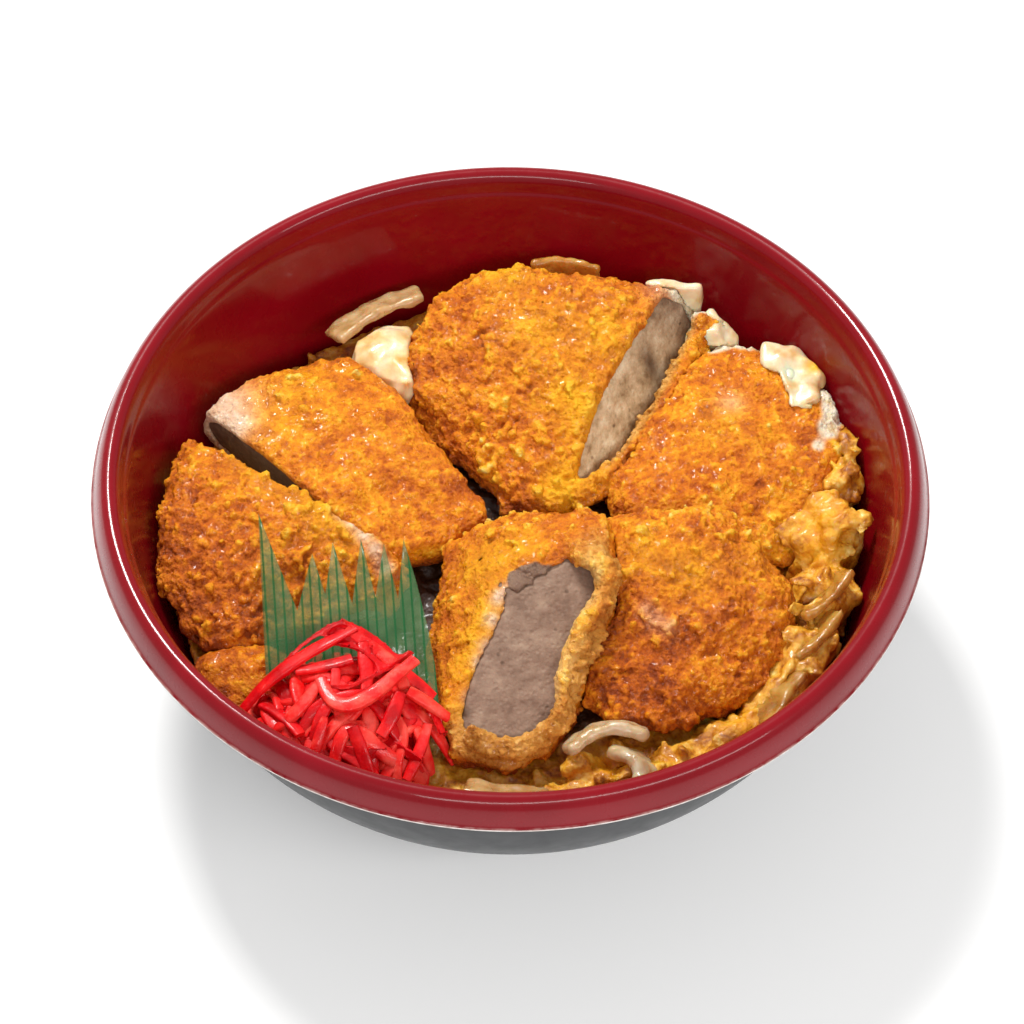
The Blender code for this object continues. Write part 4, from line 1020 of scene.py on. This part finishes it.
def section_guide(wide, thick):
    """The cut of a strip, flat with rounded edges, as a guide for its curve."""
    put_down()
    bpy.ops.curve.primitive_nurbs_circle_add(radius=1.0)
    guide = bpy.context.object
    for point in guide.data.splines[0].points:
        if abs(point.co.x * point.co.y) > 0.5:
            point.co.w = CORNER_PULL
    guide.scale = (wide / 2, thick / 2, 1.0)
    bpy.ops.object.transform_apply(scale=True)
    guide.data.resolution_u = 3
    return guide


def drawn_along(name, line, guide, ends, wide=1.0, tilt=0.0):
    """A strip drawn along its line, narrower at its ends, turned into a mesh."""
    put_down()
    bpy.ops.curve.primitive_nurbs_path_add(radius=0.001)
    piece = bpy.context.object
    piece.name = name
    piece.data.splines.clear()
    spline = piece.data.splines.new("NURBS")
    spline.points.add(len(line) - 1)
    for point, place in zip(spline.points, line):
        point.co = (*place, 1.0)
        point.radius = wide * ends if place in (line[0], line[-1]) else wide
        point.tilt = tilt
    spline.use_endpoint_u = True
    spline.order_u = min(4, len(line))
    piece.location = (0, 0, 0)
    piece.data.twist_mode = "Z_UP"
    piece.data.bevel_mode = "OBJECT"
    piece.data.bevel_object = guide
    piece.data.use_fill_caps = True
    piece.data.resolution_u = 5
    bpy.ops.object.convert(target="MESH")
    return piece


def make_egg(material, crusts, lumps):
    """The bed of egg with its folds and curds."""
    piece = cast_from("egg", "simmered_egg")
    even_out(piece, 0.0010, 3)
    relief(piece, 0.0070, 0.0016)
    bed = places(piece)
    mark(piece, "strewn", spots_over(bed, CURDLED) * ease(bed[:, 2], 0.028, 0.031))
    joining = [scatter("curds", piece, lumps, CURDS_PER_AREA, *CURD_SIZES, 3, 1.0)]
    trees = [feel(piece), *crusts]
    for line, wide, tilt in EGG_FOLDS:
        guide = section_guide(wide, FOLD_THICKNESS)
        laid = [(x, y, ground_height(x, y, trees) + FOLD_LIFT) for x, y in line]
        joining.append(drawn_along("fold", laid, guide, 0.8, tilt=math.radians(tilt)))
        bpy.data.objects.remove(guide)
    joined(piece, *joining)
    even_out(piece, 0.0005, 4)
    relief(piece, 0.0045, 0.0026)
    relief(piece, 0.0014, 0.0008, 2)
    thin_out(piece)
    hold_in_bowl(piece)
    points = places(piece)
    mark(piece, "yellow", ease(spots_over(points, YOLK_SHOWS), 0.2, 0.8))
    # Painted shade: egg low down in the middle, between the pieces, is marked to turn nearly black.
    deep = 1.0 - ease(np.hypot(points[:, 0], points[:, 1]), 0.046, 0.056)
    mark(piece, "soy", deep * (1.0 - ease(points[:, 2], 0.034, 0.038)))
    return finish_piece(piece, material, "egg", "egg")


def make_white(node, material):
    """Egg white that set over the crust."""
    piece = cast_from(node, "set_" + node)
    even_out(piece, 0.0004, 6)
    swell(piece, 0.0002)
    relief(piece, 0.0040, 0.0014, 0)
    hold_in_bowl(piece)
    mark(piece, "yellow", spots_over(places(piece), YOLK_IN_WHITE))
    return finish_piece(piece, material, "egg_white", node)


# Onion: how soaked the paler slices are, where 1 is brown
PALE_ONIONS = {"onion_front_upper": 0.1, "onion_front_ring": 0.1, "onion_back_left": 0.5,
               "onion_front_low": 0.6}
SOAKED = 0.95


def make_onion(node, material):
    """One slice of onion, softened."""
    piece = cast_from(node, node.replace("onion", "onion_slice"))
    soaked = PALE_ONIONS.get(node, SOAKED)
    even_out(piece, 0.0004, 12)
    swell(piece, 0.0007 if soaked < 0.3 else 0.0003)
    relief(piece, 0.0040, 0.0013)
    hold_in_bowl(piece)
    mark(piece, "soaked", np.full(len(piece.data.vertices), soaked))
    return finish_piece(piece, material, "onion", node)


RICE_SHOWN = [(0.037, -0.057, 0.009, 1.0), (0.047, -0.051, 0.006, 0.6)]
GRAIN_LENGTHS = (0.0058 * 0.85, 0.0058 * 1.1)
GRAINS_PER_AREA = 260000


def rice_grain(name, seed):
    """One cooked grain, a metre long, to be copied at a grain's size."""
    put_down()
    bpy.ops.mesh.primitive_uv_sphere_add(segments=8, ring_count=6, radius=0.5, location=(0, 0, 0),
                                         rotation=(0, math.pi / 2, 0))
    bpy.ops.object.transform_apply(rotation=True)
    grain = shaped(name, 0.03, seed, (1.0, 0.42, 0.36))
    grain.data.shade_smooth()
    return grain


def make_rice(material):
    """The bed of rice, and the grains where it shows."""
    piece = cast_from("rice", "rice_bed")
    even_out(piece, 0.0012, 1)
    relief(piece, 0.0035, -0.0008, middle=0.35, kind="VORONOI")
    points = places(piece)
    mark(piece, "strewn", spots_over(points, RICE_SHOWN) * ease(points[:, 2], 0.026, 0.029))
    grains = kinds_of("grain_kinds", [rice_grain(f"grain{seed}", seed) for seed in range(3)])
    strewn = scatter("rice_grains", piece, grains, GRAINS_PER_AREA, *GRAIN_LENGTHS, 8, 0.4)
    throw_away(grains)
    for shape in (piece, strewn):
        hold_in_bowl(shape)
    finish_piece(strewn, material, "rice")
    return finish_piece(piece, material, "rice", "rice")


# Divider: its foot from left to right, and how its lines lean and are spaced

DIVIDER_LEFT = Vector((-0.0510, -0.0400, 0.0375))
DIVIDER_RIGHT = Vector((-0.0145, -0.0465, 0.0375))
LINES_LEAN = 0.09
STRIPES = 19.0


def make_divider(material):
    """The green film, its stripes counted across from the left edge."""
    piece = cast_from("divider", "green_divider")
    finer = piece.modifiers.new("finer", "SUBSURF")
    finer.subdivision_type = "SIMPLE"
    finer.levels = finer.render_levels = 2
    set_modifiers(piece)
    away = places(piece) - np.array(DIVIDER_LEFT)
    across = (away[:, 0] + LINES_LEAN * away[:, 1]) / (DIVIDER_RIGHT - DIVIDER_LEFT).x
    mark(piece, "across", across * STRIPES)
    return finish_piece(piece, material, "divider", "divider")


# Ginger: the shreds that stand out, each by its own line

SHRED_LINES = [
    [(-0.0560, -0.0490, 0.0395), (-0.0512, -0.0451, 0.0445), (-0.0448, -0.0408, 0.0473),
     (-0.0371, -0.0368, 0.0490), (-0.0320, -0.0340, 0.0494)],
    [(-0.0340, -0.0341, 0.0494), (-0.0288, -0.0383, 0.0480), (-0.0229, -0.0416, 0.0455),
     (-0.0158, -0.0457, 0.0410)],
    [(-0.0390, -0.0460, 0.0478), (-0.0375, -0.0520, 0.0478), (-0.0327, -0.0550, 0.0482),
     (-0.0264, -0.0492, 0.0490), (-0.0196, -0.0410, 0.0480)],
    [(-0.0385, -0.0455, 0.0480), (-0.0425, -0.0520, 0.0463), (-0.0452, -0.0545, 0.0446),
     (-0.0494, -0.0550, 0.0415)],
    [(-0.0307, -0.0372, 0.0488), (-0.0293, -0.0430, 0.0480), (-0.0296, -0.0499, 0.0465)],
    [(-0.0210, -0.0475, 0.0458), (-0.0164, -0.0495, 0.0440), (-0.0128, -0.0504, 0.0405)],
    [(-0.0226, -0.0488, 0.0468), (-0.0237, -0.0537, 0.0456), (-0.0265, -0.0577, 0.0440)],
    [(-0.0443, -0.0425, 0.0460), (-0.0383, -0.0427, 0.0472), (-0.0327, -0.0409, 0.0480)],
    [(-0.0273, -0.0391, 0.0476), (-0.0231, -0.0418, 0.0466), (-0.0218, -0.0466, 0.0455)],
    [(-0.0362, -0.0425, 0.0475), (-0.0358, -0.0476, 0.0470), (-0.0366, -0.0511, 0.0460)],
    [(-0.0380, -0.0550, 0.0470), (-0.0392, -0.0591, 0.0448), (-0.0404, -0.0622, 0.0418)],
    [(-0.0323, -0.0570, 0.0462), (-0.0302, -0.0616, 0.0432), (-0.0287, -0.0650, 0.0398)],
    [(-0.0167, -0.0535, 0.0425), (-0.0183, -0.0595, 0.0405), (-0.0211, -0.0644, 0.0378)],
    [(-0.0514, -0.0480, 0.0415), (-0.0463, -0.0525, 0.0442), (-0.0430, -0.0576, 0.0440)],
]
HEAP_MIDDLE = Vector((-0.0340, -0.0485))
HEAP_REACH = Vector((0.0225, 0.0190))
HEAP_TOP = 0.0468
HEAP_FOOT = 0.0355
SHRED_WIDE = 0.0034
SHRED_THICK = 0.0017
LOOSE_SHREDS = 66
SHRED_STEPS = (-1.0, -0.55, 0.0, 0.5, 1.0)
GOLDEN_ANGLE = math.pi * (3 - math.sqrt(5))


def heap_height(x, y):
    """Height of the heap over a place."""
    out = math.hypot((x - HEAP_MIDDLE.x) / HEAP_REACH.x, (y - HEAP_MIDDLE.y) / HEAP_REACH.y)
    return HEAP_FOOT + (HEAP_TOP - HEAP_FOOT) * max(1.0 - out * out, -0.1)


def loose_line(index, draw, film):
    """The line of a loose shred, laid any way over the heap, in front of the divider's film."""
    share = (index + 0.5) / LOOSE_SHREDS
    turn = GOLDEN_ANGLE * index
    reach = math.sqrt(share) * 0.86
    x = HEAP_MIDDLE.x + math.cos(turn) * reach * HEAP_REACH.x
    y = HEAP_MIDDLE.y + math.sin(turn) * reach * HEAP_REACH.y
    way = math.pi / 2 + draw.uniform(-1.2, 1.2)
    half = draw.uniform(0.0065, 0.0120) * (1.15 - 0.55 * share)
    bend = draw.uniform(-0.35, 0.35) * half
    sway = draw.uniform(-0.25, 0.25) * half
    rise = draw.uniform(-0.0008, 0.0012)
    drop = draw.uniform(0.0010, 0.0024)
    line = []
    for along in SHRED_STEPS:
        off = bend * (1 - along * along) + sway * math.sin(math.pi * along)
        px = x + math.cos(way) * half * along - math.sin(way) * off
        py = y + math.sin(way) * half * along + math.cos(way) * off
        pz = heap_height(px, py) + rise - drop * along ** 4
        spot = film.ray_cast(Vector((px, -STEP_RADIUS, pz)), Vector((0, 1, 0)))[0]
        if spot:
            py = min(py, spot.y - SHRED_WIDE / 2)
        line.append((px, py, pz))
    return line


def make_ginger(material):
    """The heap of ginger: shreds over a low core."""
    core = cast_from("ginger", "ginger_core")
    even_out(core, 0.0006, 6)
    swell(core, -0.0009)
    mark(core, "tone", np.full(len(core.data.vertices), 0.05))
    finish_piece(core, material, "ginger", "ginger")
    guide = section_guide(SHRED_WIDE, SHRED_THICK)
    film = feel(frame["nodes"]["divider"])
    draw = random.Random(11)
    lines = SHRED_LINES + [loose_line(index, draw, film) for index in range(LOOSE_SHREDS)]
    shreds = []
    for index, line in enumerate(lines):
        wide = 1.0 if index < len(SHRED_LINES) else draw.uniform(0.75, 1.0)
        piece = drawn_along("shred", line, guide, draw.uniform(0.45, 0.85), wide, draw.uniform(-0.5, 0.5))
        mark(piece, "tone", np.full(len(piece.data.vertices), draw.random()))
        shreds.append(piece)
    bpy.data.objects.remove(guide)
    heap = joined(*shreds)
    heap.name = "ginger_shreds"
    relief(heap, 0.0060, 0.0006)
    hold_in_bowl(heap)
    return finish_piece(heap, material, "ginger")


# Studio: each light as (name, place, size, watts, colour)

LIGHTS = [("key", (-0.30, 0.62, 1.00), (0.32, 0.22), 15.1, (1.0, 0.99, 0.97)),
          ("fill", (0.30, -0.75, 0.80), (1.5, 0.16), 7.6, (1.0, 0.99, 0.98))]
LIT_PLACE = Vector((0, 0, 0.03))
SKY_STRENGTH = 0.45
FLOOR_SIZE = 6.0
FLOOR_Z = -0.0002


def make_studio():
    """A pale floor that also glows faintly, a painted light that lifts its shadows, and soft light."""
    put_down()
    bpy.ops.mesh.primitive_plane_add(size=FLOOR_SIZE, location=(0, 0, FLOOR_Z))
    floor = bpy.context.object
    floor.name = "floor"
    # The floor's faint glow is painted light: it lifts the floor's shadows and lights the bowl from below.
    material, shader, place = new_material("pale_floor", Roughness=0.8, Emission_Strength=0.15)
    feed(shader, {"Base Color": ramp(noise(place, 0.4, 2.0), FLOOR)})
    floor.data.materials.append(material)
    for name, place, size, watts, colour in LIGHTS:
        data = bpy.data.lights.new(name, "AREA")
        data.shape = "RECTANGLE"
        data.size, data.size_y = size
        data.energy = watts
        data.color = colour
        lamp = bpy.data.objects.new(name, data)
        lamp.location = place
        lamp.rotation_mode = "QUATERNION"
        lamp.rotation_quaternion = (LIT_PLACE - Vector(place)).to_track_quat("-Z", "Y")
        bpy.context.scene.collection.objects.link(lamp)
    world = bpy.data.worlds.new("studio")
    world.use_nodes = True
    feed(world.node_tree.nodes["Background"], {"Color": (1.0, 1.0, 1.0, 1.0), "Strength": SKY_STRENGTH})
    bpy.context.scene.world = world
    bpy.context.scene.view_settings.view_transform = "Standard"


def make_camera():
    """The camera, at the photograph's angle and distance."""
    rise = math.radians(CAMERA_ELEVATION)
    back = Vector((0, -math.cos(rise), math.sin(rise)))
    camera = bpy.data.objects.new("camera", bpy.data.cameras.new("camera"))
    camera.data.lens = CAMERA_LENS
    camera.data.sensor_width = 36.0
    camera.location = RIM_MIDDLE + back * CAMERA_DISTANCE + Vector((CAMERA_ASIDE, 0, 0))
    pitch = Matrix.Rotation(math.radians(90 - CAMERA_ELEVATION - CAMERA_DOWN), 3, "X")
    yaw = Matrix.Rotation(math.radians(-CAMERA_RIGHT), 3, "Y")
    roll = Matrix.Rotation(math.radians(CAMERA_ROLL), 3, "Z")
    camera.rotation_mode = "QUATERNION"
    camera.rotation_quaternion = (pitch @ yaw @ roll).to_quaternion()
    bpy.context.scene.collection.objects.link(camera)
    bpy.context.scene.camera = camera


def make_all():
    """The bowl and all that is in it."""
    make_bowl()
    crust = crust_material()
    flakes = kinds_of("flake_kinds", [chipped(f"flake{seed}", seed + 1, 0.30 + 0.06 * seed)
                                      for seed in range(6)])
    crusts = [feel(fry(node, flakes, crust, 10 * seed)) for seed, node in enumerate(CRUSTS)]
    meat = pork_material()
    for node in ("pork_front", "pork_back", "pork_left_back", "pork_left_front"):
        cut_meat(node, meat)
    make_egg(egg_material(), crusts, flakes)
    throw_away(flakes)
    make_rice(rice_material())
    white = white_material()
    onion = onion_material()
    for node in frame["nodes"]:
        if node.startswith("egg_white"):
            make_white(node, white)
        if node.startswith("onion"):
            make_onion(node, onion)
    make_ginger(ginger_material())
    make_divider(divider_material())


make_all()
make_studio()
make_camera()
